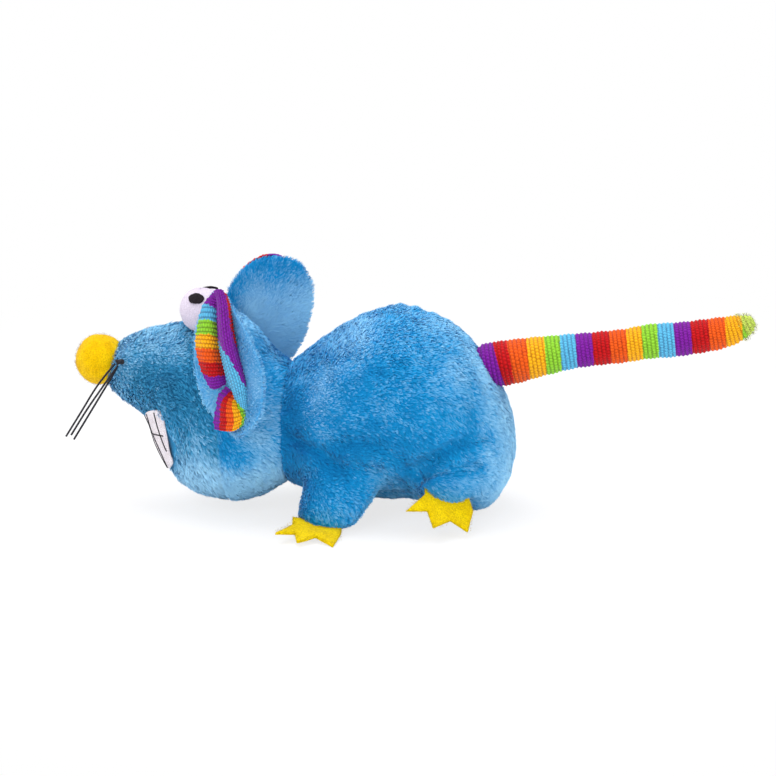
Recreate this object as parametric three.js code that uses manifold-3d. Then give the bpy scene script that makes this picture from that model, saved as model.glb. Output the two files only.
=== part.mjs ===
// A stuffed plush mouse for cats. It stands on its front legs and its rump, nose toward -X, tail
// toward +X, +Z up. Its left side is at -Y. Lengths are in millimetres and angles in degrees.
import * as THREE from 'three';
import { mergeVertices } from 'three/addons/utils/BufferGeometryUtils.js';
import Module from 'manifold-3d';

const wasm = await Module();
wasm.setup();
const DEGREE = Math.PI / 180;

// Driving dimensions: fabric, gaps between pieces, and how far a cutting solid runs past them
const coverWall = 2.4;
const seamGap = 0.3;
const seatGap = 0.3;
const weld = 0.0003;
const overrun = 60;

// Driving dimensions: body
const bodyLength = 87.2;
const bodyHeight = 72.7;
const bodyHalfWidth = 33.5;
const standCut = 0.5;
const neckInset = 0.1032 * bodyLength;
const gussetLength = 0.711 * bodyLength;
const gussetStart = 0.126 * bodyLength;
const gussetHalfWidth = 0.448 * bodyHalfWidth;
const gussetTop = 0.275 * bodyHeight;

// Driving dimensions: sachet in the body's filling
const sachetLength = 18;
const sachetThickness = 5;
const sachetHeight = 26;
const sachetDistance = 0.5275 * bodyLength;
const sachetMiddle = 0.605 * bodyHeight;

// Driving dimensions: head, whose pivot at the neck lies in the rear of its form
const headLength = 70.2;
const headHeight = 69.2;
const headHalfWidth = 27;
const chinHeight = 2;
const headRearOverlap = 0.0855 * headLength;
const neckHeight = chinHeight + 0.435 * headHeight;
const earSeamDistance = 0.3034 * headLength;

// Driving dimensions: face. An eye and a knot sit on the head, sunk by a share of their radius.
const pompomRadius = 9;
const pompomDistance = headLength - headRearOverlap + 0.2556 * pompomRadius;
const pompomHeight = chinHeight + 0.705 * headHeight;
const eyeRadius = 7.6;
const eyeDistance = 0.4188 * headLength;
const leftEyeOut = 0.92 * eyeRadius;
const rightEyeOut = 1.16 * eyeRadius;
const leftEyeSitShare = 0.63;
const rightEyeSitShare = 0.12;
const pupilLength = 5.6;
const pupilHeight = 3.9;
const pupilThickness = 0.7;
const mouthWidth = 24;
const mouthHeight = 20;
const mouthBottom = chinHeight + 0.1734 * headHeight;
const mouthDistance = 0.5128 * headLength;
const mouthDepth = 0.342 * headLength;
const panelThickness = 1.1;
const whiskerThickness = 0.7;
const whiskerLength = 32;
const knotRadius = 1.3;
const knotDistance = 0.812 * headLength;
const knotHeight = chinHeight + 0.7486 * headHeight;
const knotSitShare = 1.25;

// Driving dimensions: ears
const earWidth = 32;
const leftEarHeight = 51;
const rightEarHeight = 47;
const earStand = 3;
const earRootRadius = 2;
const earRootHeight = chinHeight + 0.708 * headHeight;
const earLayerGap = 0.8;
const earBackThickness = 2.4;
const earFrontThickness = 2;
const earDish = 2;
const leftEarMiddle = chinHeight + 0.8584 * headHeight;
const rightEarMiddle = chinHeight + 0.8309 * headHeight;
const leftEarStart = earSeamDistance + 0.209 * earWidth;
const rightEarStart = earSeamDistance + 0.256 * earWidth;

// Driving dimensions: legs
const frontLegHeight = 29.5;
const frontLegHalfLength = 14;
const frontLegHalfWidth = 9;
const frontLegDistance = 0.2523 * bodyLength;
const frontLegOut = 0.7463 * bodyHalfWidth;
const rearLegHeight = 25;
const rearLegHalfLength = 11;
const rearLegHalfWidth = 8.5;
const rearLegDistance = 0.7053 * bodyLength;
const rearLegOut = 0.7612 * bodyHalfWidth;
const rearLegBottom = 0.0825 * bodyHeight;

// Driving dimensions: felt feet
const feltThickness = 1;
const footWidth = 17;
const toeLength = 12.6;
const footInset = 5;
const footGap = 0.45;
const frontFootDistance = frontLegDistance - 0.2357 * frontLegHalfLength;
const frontFootOut = frontLegOut + 0.778 * frontLegHalfWidth;
const frontFootHeight = 0.1068 * frontLegHeight;
const rearFootDistance = rearLegDistance + 0.136 * rearLegHalfLength;
const rearFootOut = rearLegOut + 0.353 * rearLegHalfWidth;
const rearFootHeight = rearLegBottom + 0.236 * rearLegHeight;

// Driving dimensions: tail
const tailLength = 87.2;
const tailRise = 14;
const tailRadius = 7.8;
const tailWall = 1.8;
const tailRootDistance = bodyLength - 0.641 * tailRadius;
const tailRootHeight = 0.7235 * bodyHeight;

// Counts and angles
const formRings = 22;
const formSides = 20;
const innerRings = 15;
const innerSides = 14;
const legRings = 9;
const legSides = 14;
const ballSides = 16;
const knotSides = 8;
const sachetSides = 12;
const earRings = 4;
const earSectors = 18;
const tailRings = 12;
const tailSides = 14;
const cordSides = 8;
const cordSteps = 13;
const headTurn = 10;
const neckNod = 5;
const frontFootSlope = 10;
const frontFootTilt = 9;
const rearFootSlope = 42;
const rearFootTilt = 30;
const leftEarLean = -6;
const rightEarLean = 8;
const leftEarHeading = 0;
const rightEarHeading = 8;
const steepest = 2;
const flattest = 0.1;

// Each row holds shares of the form's length, height, height and half width: how far along it is,
// where its underside and its back are, and how wide it is there.
const bodyShares = [
  [0, 0.282, 0.612, 0], [0.012, 0.186, 0.708, 0.567], [0.103, 0.143, 0.754, 0.657],
  [0.16, 0.117, 0.788, 0.76], [0.23, 0.1, 0.843, 0.84], [0.31, 0.092, 0.908, 0.895],
  [0.39, 0.088, 0.962, 0.934], [0.48, 0.089, 1.003, 0.965], [0.585, 0.084, 0.998, 0.99],
  [0.677, 0.056, 0.964, 1], [0.745, 0.021, 0.931, 0.98], [0.803, 0, 0.879, 0.93],
  [0.86, 0, 0.772, 0.85], [0.912, 0.028, 0.671, 0.73], [0.952, 0.076, 0.591, 0.59],
  [0.986, 0.172, 0.461, 0.34], [1, 0.309, 0.309, 0],
];
const headShares = [
  [0, 0.289, 0.578, 0], [0.014, 0.173, 0.694, 0.667], [0.085, 0.114, 0.756, 0.815],
  [0.135, 0.087, 0.779, 0.852], [0.2, 0.046, 0.832, 0.907], [0.256, 0.023, 0.908, 0.963],
  [0.313, 0.003, 0.971, 1], [0.389, 0, 1, 1], [0.464, 0.017, 0.981, 0.97],
  [0.534, 0.038, 0.954, 0.926], [0.584, 0.061, 0.935, 0.889], [0.648, 0.101, 0.916, 0.833],
  [0.698, 0.179, 0.91, 0.759], [0.741, 0.267, 0.9, 0.689], [0.778, 0.382, 0.89, 0.63],
  [0.812, 0.434, 0.878, 0.57], [0.883, 0.466, 0.85, 0.481], [0.943, 0.512, 0.812, 0.393],
  [0.983, 0.555, 0.76, 0.274], [1, 0.65, 0.65, 0],
];
// Leg rows: shares of the leg's height, of its half length for the middle's shift and the half
// length, and of its half width for the middle's shift inward and the half width.
const frontLegShares = [
  [0, 0, 0, 0, 0], [0.025, 0, 0.64, 0, 0.64], [0.1, 0.03, 0.8, 0, 0.9],
  [0.25, 0.12, 0.94, 0.05, 1], [0.46, 0.32, 1.08, 0.2, 1], [0.7, 0.36, 1, 0.5, 0.9],
  [0.93, 0.35, 0.55, 0.85, 0.55], [1, 0.35, 0, 0.9, 0],
];
const rearLegShares = [
  [0, 0.2, 0, 0.35, 0], [0.08, 0.12, 0.64, 0.25, 0.6], [0.24, 0, 0.95, 0.1, 0.88],
  [0.48, 0, 1, -0.05, 1], [0.72, 0.05, 0.8, -0.05, 0.85], [0.92, 0.1, 0.4, 0, 0.4],
  [1, 0.1, 0, 0, 0],
];
// Tail rows: shares of its length, its rise and its radius.
const tailShares = [
  [0, 0, 1], [0.09, 0.11, 0.97], [0.22, 0.24, 0.84], [0.3, 0.31, 0.78], [0.45, 0.43, 0.77],
  [0.6, 0.56, 0.79], [0.75, 0.66, 0.74], [0.88, 0.79, 0.7], [0.96, 0.9, 0.62],
  [0.992, 0.985, 0.4], [1, 1, 0],
];
// The crowns of the felt feet: three toes, as shares of the foot's width and toe length.
const frontCrownShares = [
  [-0.5, 0], [-0.85, 0.7], [-0.44, 0.52], [-0.4, 1.03], [-0.02, 0.58], [0.33, 1.03], [0.5, 0.1],
];
const rearCrownShares = [
  [-0.5, 0], [-0.96, 0.74], [-0.45, 0.52], [-0.34, 1.05], [0.09, 0.62], [0.48, 0.83], [0.61, 0.13],
];
// The mouth panel, as shares of its width and height.
const mouthShares = [
  [-0.3, 1], [-0.42, 0.78], [-0.5, 0.4], [-0.4, 0.1], [0, 0], [0.4, 0.1], [0.5, 0.4],
  [0.42, 0.78], [0.3, 1], [0, 0.94],
];
// The gusset under the body, from its front point to its rear one.
const gussetShares = [
  [0, 0], [0.12, 0.6], [0.35, 0.95], [0.6, 1], [0.85, 0.7], [1, 0], [0.85, -0.7], [0.6, -1],
  [0.35, -0.95], [0.12, -0.6],
];
// An ear seen from above is a run of arcs: shares of its width, and how far each arc turns.
const leftEarArcShares = [[0.27, 0], [0.12, -50], [0.25, 0], [0.36, 38]];
const rightEarArcShares = [[0.27, -6], [0.35, -26], [0.38, -28]];
const leftEggShare = -0.16;
const rightEggShare = 0.16;
const knitShare = 0.9;
// Where each pupil looks, as shares of its eye's radius.
const pupilShares = [[-0.07, -0.72, 0.68], [-0.1, 0.42, 0.9]];

// The whiskers: points from the knot to each tip as shares of a whisker's length, along X, outward
// and up. The left ones hang forward, the right ones lie back along the cheek.
const leftWhiskerShares = [
  [[-0.044, 0.025, -0.016], [-0.113, 0.109, -0.097], [-0.216, 0.241, -0.241],
    [-0.331, 0.403, -0.447], [-0.469, 0.581, -0.691]],
  [[-0.009, 0.056, -0.025], [-0.063, 0.159, -0.106], [-0.144, 0.306, -0.231],
    [-0.25, 0.488, -0.397], [-0.381, 0.716, -0.631]],
  [[-0.022, 0.038, -0.056], [-0.069, 0.128, -0.15], [-0.147, 0.269, -0.294],
    [-0.238, 0.441, -0.463], [-0.356, 0.694, -0.684]],
];
const rightWhiskerShares = [
  [[0.025, 0.059, -0.009], [0.075, 0.181, -0.056], [0.166, 0.353, -0.138],
    [0.3, 0.547, -0.263], [0.5, 0.772, -0.463]],
  [[-0.009, 0.066, -0.031], [0.028, 0.2, -0.109], [0.113, 0.384, -0.228],
    [0.244, 0.584, -0.388], [0.397, 0.772, -0.566]],
  [[0.013, 0.053, -0.05], [0.041, 0.163, -0.153], [0.113, 0.316, -0.297],
    [0.231, 0.503, -0.459], [0.375, 0.703, -0.659]],
];

// Colours
const plushBlue = new THREE.MeshStandardMaterial({ color: 0x2a97d2, roughness: 0.95, metalness: 0 });
const faceBlue = new THREE.MeshStandardMaterial({ color: 0x2f86bd, roughness: 0.95, metalness: 0 });
const feltYellow = new THREE.MeshStandardMaterial({ color: 0xf2d500, roughness: 0.95, metalness: 0 });
const pompomYellow = new THREE.MeshStandardMaterial({ color: 0xe8bf12, roughness: 1, metalness: 0 });
const eyeWhite = new THREE.MeshStandardMaterial({ color: 0xe3dbea, roughness: 0.9, metalness: 0 });
const panelWhite = new THREE.MeshStandardMaterial({ color: 0xeee6ea, roughness: 0.9, metalness: 0 });
const threadBlack = new THREE.MeshStandardMaterial({ color: 0x1a181b, roughness: 0.6, metalness: 0 });
const knitRainbow = new THREE.MeshStandardMaterial({ color: 0xe8891a, roughness: 0.9, metalness: 0 });
const knitPurple = new THREE.MeshStandardMaterial({ color: 0x7a1690, roughness: 0.9, metalness: 0 });
const fibreWhite = new THREE.MeshStandardMaterial({ color: 0xf4f4f2, roughness: 1, metalness: 0 });
const sachetGreen = new THREE.MeshStandardMaterial({ color: 0x9aa878, roughness: 1, metalness: 0 });

// A closed geometry becomes a solid, and a solid a geometry.
function solidOf(geometry) {
  const bare = geometry.clone();
  bare.deleteAttribute('normal');
  bare.deleteAttribute('uv');
  const joined = mergeVertices(bare, weld);
  const mesh = new wasm.Mesh({
    numProp: 3,
    vertProperties: new Float32Array(joined.attributes.position.array),
    triVerts: new Uint32Array(joined.index.array),
  });
  return new wasm.Manifold(mesh);
}

function geometryOf(solid) {
  const mesh = solid.getMesh();
  const geometry = new THREE.BufferGeometry();
  geometry.setAttribute('position', new THREE.BufferAttribute(mesh.vertProperties, 3));
  geometry.setIndex(new THREE.BufferAttribute(mesh.triVerts, 1));
  geometry.computeVertexNormals();
  return geometry;
}

// A closed skin over rings of equal count, with a pole at each end.
function skin(rings, startPole, endPole) {
  const count = rings[0].length;
  const points = [startPole, ...rings.flat(), endPole];
  const faces = [];
  const at = (ring, i) => 1 + ring * count + (i % count);
  for (let i = 0; i < count; i++) {
    faces.push(0, at(0, i + 1), at(0, i));
    for (let ring = 0; ring + 1 < rings.length; ring++) {
      faces.push(at(ring, i), at(ring, i + 1), at(ring + 1, i));
      faces.push(at(ring, i + 1), at(ring + 1, i + 1), at(ring + 1, i));
    }
    faces.push(points.length - 1, at(rings.length - 1, i), at(rings.length - 1, i + 1));
  }
  const geometry = new THREE.BufferGeometry().setFromPoints(points);
  geometry.setIndex(faces);
  return outward(geometry);
}

// Turns the faces out when the volume they enclose comes out negative.
function outward(geometry) {
  const place = geometry.attributes.position;
  const index = geometry.index.array;
  const [a, b, c] = [new THREE.Vector3(), new THREE.Vector3(), new THREE.Vector3()];
  let volume = 0;
  for (let i = 0; i < index.length; i += 3) {
    a.fromBufferAttribute(place, index[i]);
    b.fromBufferAttribute(place, index[i + 1]);
    c.fromBufferAttribute(place, index[i + 2]);
    volume += a.dot(b.cross(c));
  }
  if (volume < 0) {
    const turned = [];
    for (let i = 0; i < index.length; i += 3) {
      turned.push(index[i], index[i + 2], index[i + 1]);
    }
    geometry.setIndex(turned);
  }
  return geometry;
}

// The curves of a stuffed form along +X: its underside and back, and its half width.
function formCurves(form) {
  const profile = new THREE.CatmullRomCurve3(form.shares.map(([along, low, high]) =>
    new THREE.Vector3(along * form.length, low * form.height, high * form.height)));
  const breadth = new THREE.CatmullRomCurve3(form.shares.map(([along, , , wide]) =>
    new THREE.Vector3(along * form.length, wide * form.halfWidth, 0)));
  return { profile, breadth };
}

// The section of a form at a distance along it: the middle's height, half height and half width.
function sectionAt(form, distance) {
  const { profile, breadth } = formCurves(form);
  let [near, far] = [0, 1];
  while (far - near > weld / form.length) {
    const half = (near + far) / 2;
    if (profile.getPoint(half).x < distance) near = half;
    else far = half;
  }
  const { y: low, z: high } = profile.getPoint(near);
  return { middle: (low + high) / 2, half: (high - low) / 2, wide: breadth.getPoint(near).y };
}

// A stuffed form swollen or shrunk by grow. A slanting skin moves further, by its slope.
function stuffedForm(form, grow, ringCount, sides) {
  const { profile, breadth } = formCurves(form);
  const rings = [];
  const least = Math.abs(grow) + seatGap;
  for (let i = 1; i < ringCount; i++) {
    const here = profile.getPoint(i / ringCount);
    const slope = profile.getTangent(i / ringCount);
    const steep = (rise) => Math.min(steepest, Math.hypot(1, rise / Math.max(slope.x, flattest)));
    const wide = breadth.getPoint(i / ringCount).y;
    const low = here.y - grow * steep(slope.y);
    const high = here.z + grow * steep(slope.z);
    const tooThin = grow < 0 && (here.z - here.y < 2 * least || wide < least);
    if (tooThin || high - low < seatGap) {
      continue;
    }
    const ring = [];
    for (let side = 0; side < sides; side++) {
      const angle = 2 * Math.PI * side / sides;
      const across = (wide + grow) * Math.cos(angle);
      const up = (low + high) / 2 + (high - low) / 2 * Math.sin(angle);
      ring.push(new THREE.Vector3(here.x, across, up));
    }
    rings.push(ring);
  }
  const pole = (ring, x) => {
    const heights = ring.map((point) => point.z);
    return new THREE.Vector3(x, 0, (Math.min(...heights) + Math.max(...heights)) / 2);
  };
  const [first, last] = [rings[0], rings[rings.length - 1]];
  const start = grow < 0 ? first[0].x - coverWall / 4 : -grow;
  const end = grow < 0 ? last[0].x + coverWall / 4 : form.length + grow;
  return skin(rings, pole(first, start), pole(last, end));
}

const bodyShape = { shares: bodyShares, length: bodyLength, height: bodyHeight, halfWidth: bodyHalfWidth };
const headShape = { shares: headShares, length: headLength, height: headHeight, halfWidth: headHalfWidth };

// The body stands with its front end at the origin of its group.
function bodyForm(grow, ringCount = innerRings, sides = innerSides) {
  return solidOf(stuffedForm(bodyShape, grow, ringCount, sides).translate(0, 0, -standCut));
}

// The head's own axes start at the neck's pivot: the face looks along -X.
function headForm(grow, ringCount = innerRings, sides = innerSides) {
  const geometry = stuffedForm(headShape, grow, ringCount, sides);
  geometry.translate(-headRearOverlap, 0, 0);
  geometry.rotateZ(Math.PI);
  return solidOf(geometry.translate(0, 0, chinHeight - neckHeight));
}

// The head's section at a distance ahead of the neck's pivot, in the head's own axes.
function headSection(distance) {
  const section = sectionAt(headShape, distance + headRearOverlap);
  section.middle += chinHeight - neckHeight;
  return section;
}

function ball(radius, x, y, z, sides = ballSides) {
  const geometry = new THREE.SphereGeometry(radius, sides, Math.ceil(2 * sides / 3));
  return solidOf(geometry.rotateX(Math.PI / 2).translate(x, y, z));
}

function block(x0, x1, y0, y1, z0, z1) {
  const geometry = new THREE.BoxGeometry(x1 - x0, y1 - y0, z1 - z0);
  return solidOf(geometry.translate((x0 + x1) / 2, (y0 + y1) / 2, (z0 + z1) / 2));
}

function outline(points) {
  return new THREE.Shape(points.map(([x, y]) => new THREE.Vector2(x, y)));
}

// A leg hangs from the body's side: side is -1 for the left and 1 for the right.
function legForm(leg, side, grow) {
  const curve = new THREE.CatmullRomCurve3(leg.shares.map(([up, , , inward]) =>
    new THREE.Vector3(0, -side * inward * leg.halfWidth, up * leg.height)));
  const size = new THREE.CatmullRomCurve3(leg.shares.map(([, shift, long, , wide]) =>
    new THREE.Vector3(shift * leg.halfLength, long * leg.halfLength, wide * leg.halfWidth)));
  const rings = [];
  for (let i = 1; i < legRings; i++) {
    const centre = curve.getPoint(i / legRings);
    const half = size.getPoint(i / legRings);
    const ring = [];
    for (let corner = 0; corner < legSides; corner++) {
      const angle = 2 * Math.PI * corner / legSides;
      const along = half.x + (half.y + grow) * Math.cos(angle);
      ring.push(new THREE.Vector3(along, centre.y + (half.z + grow) * Math.sin(angle), centre.z));
    }
    rings.push(ring);
  }
  const low = curve.getPoint(0);
  const high = curve.getPoint(1);
  const start = new THREE.Vector3(size.getPoint(0).x, low.y, low.z - grow);
  const end = new THREE.Vector3(size.getPoint(1).x, high.y, high.z + grow);
  const geometry = skin(rings, start, end);
  return solidOf(geometry.translate(leg.distance, side * leg.out, leg.bottom));
}

// A walk along an ear's arcs, seen from above: where it is after a distance, and its heading.
function earWalk(arcs, startHeading, distance) {
  let [x, y, heading, left] = [0, 0, startHeading * DEGREE, distance];
  arcs.forEach(([run, turn], arc) => {
    const length = run * earWidth;
    const part = arc === arcs.length - 1 ? left : Math.min(left, length);
    const bend = turn * DEGREE * part / length;
    const chord = bend === 0 ? part : part * Math.sin(bend / 2) / (bend / 2);
    x += chord * Math.cos(heading + bend / 2);
    y += chord * Math.sin(heading + bend / 2);
    heading += bend;
    left -= part;
  });
  return { x, y, heading };
}

// One layer of an ear: an egg-shaped sheet, bent along the arcs. The knit side is at +offset.
function earSheet(ear, side, from, to, share) {
  const place = (p, q, offset) => {
    const across = (1 + share * p * (1 + ear.egg * q)) / 2 * earWidth;
    const walk = earWalk(ear.arcs, ear.heading, Math.max(across, 0));
    const depth = offset + earDish * q * q * share * share;
    const up = share * q * ear.height / 2;
    const x = -ear.start + walk.x + depth * Math.sin(walk.heading) + up * Math.tan(ear.lean * DEGREE);
    const y = -ear.out + walk.y - depth * Math.cos(walk.heading);
    return new THREE.Vector3(x, -side * y, ear.middle - neckHeight + up);
  };
  const rings = [];
  const facesOf = (offset, order) => {
    for (const ring of order) {
      const points = [];
      for (let sector = 0; sector < earSectors; sector++) {
        const angle = 2 * Math.PI * sector / earSectors;
        const reach = ring / earRings;
        points.push(place(reach * Math.cos(angle), reach * Math.sin(angle), offset));
      }
      rings.push(points);
    }
  };
  const growing = Array.from({ length: earRings }, (_, i) => i + 1);
  facesOf(from, growing);
  facesOf(to, growing.slice().reverse());
  return skin(rings, place(0, 0, from), place(0, 0, to));
}

// A flat crown of felt, sewn in at its straight edge and set at the leg's foot.
function feltFoot(foot, side) {
  const points = foot.crown.map(([along, out]) => [along * footWidth, side * out * toeLength]);
  points.push([footWidth / 2, -side * footInset], [-footWidth / 2, -side * footInset]);
  const flat = { depth: feltThickness, bevelEnabled: false };
  const geometry = new THREE.ExtrudeGeometry(outline(points), flat);
  geometry.translate(0, 0, -feltThickness / 2);
  geometry.rotateY(foot.tilt * DEGREE);
  geometry.rotateX(-side * foot.slope * DEGREE);
  return solidOf(geometry.translate(foot.distance, side * foot.out, foot.height));
}

// A thread along a curve through its points.
function thread(points) {
  const path = new THREE.CatmullRomCurve3(points);
  const corners = [];
  for (let corner = 0; corner < cordSides; corner++) {
    const angle = 2 * Math.PI * corner / cordSides;
    const x = whiskerThickness / 2 * Math.cos(angle);
    const y = whiskerThickness / 2 * Math.sin(angle);
    corners.push(new THREE.Vector2(x, y));
  }
  const round = new THREE.Shape(corners);
  return solidOf(new THREE.ExtrudeGeometry(round, { steps: cordSteps, extrudePath: path }));
}

function add(group, name, solid, material) {
  const mesh = new THREE.Mesh(geometryOf(solid), material);
  mesh.name = name;
  group.add(mesh);
}

const toy = new THREE.Group();
const body = new THREE.Group();
const head = new THREE.Group();
head.position.set(neckInset, 0, neckHeight);
head.rotation.z = -headTurn * DEGREE;
body.add(head);
toy.add(body);
toy.updateMatrixWorld(true);
const inBody = (solid) => solid.transform(head.matrix.elements);
const floorCut = block(-overrun * 2, overrun * 3, -overrun, overrun, -overrun, 0);

// Neck: the head ends in a flat face, and the body's face falls away above and below the pivot,
// so the head can nod without touching.
const nodSpread = overrun * Math.tan(neckNod * DEGREE);
const neckWedge = new THREE.ExtrudeGeometry(outline([
  [-overrun, -overrun], [nodSpread + seamGap / 2, -overrun], [seamGap / 2, 0],
  [nodSpread + seamGap / 2, overrun], [-overrun, overrun],
]), { depth: 2 * overrun, bevelEnabled: false });
neckWedge.rotateX(Math.PI / 2).translate(0, overrun, 0);
const aheadOfNeck = inBody(solidOf(neckWedge));
const behindNeck = block(-seamGap / 2, overrun, -overrun, overrun, -overrun, overrun);

// Body: two side panels that meet along the back, a gusset below, and the filling.
const tailRootAt = [tailRootDistance, 0, tailRootHeight];
const tailDimple = ball(tailRadius + seatGap, ...tailRootAt);
const bodyOuter = bodyForm(0, formRings, formSides).subtract(floorCut).subtract(aheadOfNeck);
const bodyShell = bodyOuter.subtract(bodyForm(-coverWall)).subtract(tailDimple);
const gussetPrism = (grow) => {
  const points = gussetShares.map(([along, out]) =>
    [gussetStart - grow + along * (gussetLength + 2 * grow), out * (gussetHalfWidth + grow)]);
  const geometry = new THREE.ExtrudeGeometry(outline(points), { depth: gussetTop, bevelEnabled: false });
  return solidOf(geometry);
};
const panels = bodyShell.subtract(gussetPrism(seamGap));
const leftHalf = block(-overrun, 3 * overrun, -overrun, -seamGap / 2, -overrun, 2 * overrun);
const rightHalf = block(-overrun, 3 * overrun, seamGap / 2, overrun, -overrun, 2 * overrun);
add(body, 'left_side_cover', panels.intersect(leftHalf), plushBlue);
add(body, 'right_side_cover', panels.intersect(rightHalf), plushBlue);
add(body, 'belly_gusset', bodyShell.intersect(gussetPrism(0)), plushBlue);
const sachetPocket = block(
  sachetDistance - sachetLength / 2 - seatGap, sachetDistance + sachetLength / 2 + seatGap,
  -sachetThickness / 2 - seatGap, sachetThickness / 2 + seatGap,
  sachetMiddle - sachetHeight / 2 - seatGap, 2 * overrun);
const bodyFilling = bodyForm(-coverWall - seatGap)
  .subtract(aheadOfNeck)
  .subtract(tailDimple)
  .subtract(sachetPocket);
add(body, 'body_filling', bodyFilling, fibreWhite);
const sachet = new THREE.SphereGeometry(1, sachetSides, sachetSides / 2).rotateX(Math.PI / 2);
sachet.scale(sachetLength / 2, sachetThickness / 2, sachetHeight / 2);
add(body, 'catnip_sachet', solidOf(sachet.translate(sachetDistance, 0, sachetMiddle)), sachetGreen);

// Head: the face and the back of the head meet at the ear seam. The mouth panel lies in a shallow
// pocket of the face, and the pompom in a dimple of the snout.
const pompomAt = [-pompomDistance, 0, pompomHeight - neckHeight];
const pompomDimple = ball(pompomRadius + seatGap, ...pompomAt);
const headOuter = headForm(0, formRings, formSides);
const headShell = headOuter.subtract(headForm(-coverWall))
  .subtract(behindNeck)
  .subtract(pompomDimple);
const mouthPrism = (grow) => {
  const low = mouthBottom - neckHeight - grow;
  const points = mouthShares.map(([out, up]) =>
    [out * (mouthWidth + 2 * grow), low + up * (mouthHeight + 2 * grow)]);
  const geometry = new THREE.ExtrudeGeometry(outline(points), { depth: mouthDepth, bevelEnabled: false });
  geometry.rotateX(Math.PI / 2).rotateZ(Math.PI / 2);
  return solidOf(geometry.translate(-mouthDistance - mouthDepth, 0, 0));
};
const mouthPocket = mouthPrism(seamGap).subtract(headForm(-panelThickness - seatGap, formRings, formSides));
const seamPlane = (from, to) => block(-to, -from, -overrun, overrun, -overrun, overrun);
const faceCover = headShell.subtract(mouthPocket)
  .intersect(seamPlane(earSeamDistance + seamGap / 2, 2 * overrun));
add(head, 'face_cover', faceCover, faceBlue);
add(head, 'head_back_cover', headShell.intersect(seamPlane(0, earSeamDistance - seamGap / 2)), plushBlue);
const headFilling = headForm(-coverWall - seatGap).subtract(behindNeck).subtract(pompomDimple);
add(head, 'head_filling', headFilling, fibreWhite);
const mouthPanel = headOuter.intersect(mouthPrism(0))
  .subtract(headForm(-panelThickness, formRings, formSides));
add(head, 'teeth_panel', mouthPanel, panelWhite);
add(head, 'nose_pompom', ball(pompomRadius, ...pompomAt), pompomYellow);

// Eyes: stuffed balls that sit on the head, each with an oval pupil.
const headClear = headForm(seatGap, formRings, formSides);
const eyes = [[-1, 'left', leftEyeOut, leftEyeSitShare], [1, 'right', rightEyeOut, rightEyeSitShare]];
eyes.forEach(([side, name, out, sitShare], i) => {
  const { middle, half, wide } = headSection(eyeDistance);
  const crown = middle + half * Math.sqrt(1 - (out / wide) ** 2);
  const at = [-eyeDistance, side * out, crown + sitShare * eyeRadius];
  add(head, `${name}_eye`, ball(eyeRadius, ...at).subtract(headClear), eyeWhite);
  const oval = new THREE.CylinderGeometry(1, 1, 1, ballSides);
  oval.scale(pupilLength / 2, 2 * eyeRadius, pupilHeight / 2).translate(0, eyeRadius, 0);
  const look = new THREE.Vector3(...pupilShares[i]).normalize();
  oval.applyQuaternion(new THREE.Quaternion().setFromUnitVectors(new THREE.Vector3(0, 1, 0), look));
  const disc = solidOf(oval.translate(...at))
    .intersect(ball(eyeRadius + seatGap + pupilThickness, ...at))
    .subtract(ball(eyeRadius + seatGap, ...at));
  add(head, `${name}_pupil`, disc, threadBlack);
});

// Ears: a plush back and a smaller knit front, gathered to a root that sits at the ear seam.
const earSection = headSection(earSeamDistance);
const rootSine = (earRootHeight - neckHeight - earSection.middle) / earSection.half;
const rootCosine = Math.sqrt(1 - rootSine ** 2);
const rootNormal = new THREE.Vector2(rootCosine / earSection.wide, rootSine / earSection.half)
  .setLength(earRootRadius + seatGap);
const rootOut = earSection.wide * rootCosine + rootNormal.x;
const rootUp = earRootHeight - neckHeight + rootNormal.y;
const earOut = earSection.wide + earStand;
const ears = {
  left: {
    start: leftEarStart, out: earOut, height: leftEarHeight, middle: leftEarMiddle,
    arcs: leftEarArcShares, heading: leftEarHeading, lean: leftEarLean, egg: leftEggShare,
  },
  right: {
    start: rightEarStart, out: earOut, height: rightEarHeight, middle: rightEarMiddle,
    arcs: rightEarArcShares, heading: rightEarHeading, lean: rightEarLean, egg: rightEggShare,
  },
};
Object.entries(ears).forEach(([name, ear]) => {
  const side = name === 'left' ? -1 : 1;
  const root = ball(earRootRadius, -earSeamDistance, side * rootOut, rootUp, knotSides);
  const back = solidOf(earSheet(ear, side, -earBackThickness, -earLayerGap / 2, 1)).add(root);
  const front = solidOf(earSheet(ear, side, earLayerGap / 2, earFrontThickness, knitShare));
  add(head, `${name}_ear_back`, back.subtract(headClear), plushBlue);
  add(head, `${name}_ear_front`, front.subtract(headClear), knitRainbow);
});

// Whiskers: three threads a side, tied in a knot that sits on the snout.
[[-1, 'left', leftWhiskerShares], [1, 'right', rightWhiskerShares]].forEach(([side, name, routes]) => {
  const { middle, half, wide } = headSection(knotDistance);
  const knotUp = knotHeight - neckHeight;
  const out = wide * Math.sqrt(1 - ((knotUp - middle) / half) ** 2) + knotSitShare * knotRadius;
  const at = [-knotDistance, side * out, knotUp];
  add(head, `${name}_whisker_knot`, ball(knotRadius, ...at, knotSides).subtract(headClear), threadBlack);
  routes.forEach((route, i) => {
    const points = route.map(([along, outward, up]) => {
      const reach = new THREE.Vector3(along, side * outward, up).multiplyScalar(whiskerLength);
      return reach.add(new THREE.Vector3(...at));
    });
    add(head, `${name}_whisker_${i + 1}`, thread(points), threadBlack);
  });
});

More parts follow.
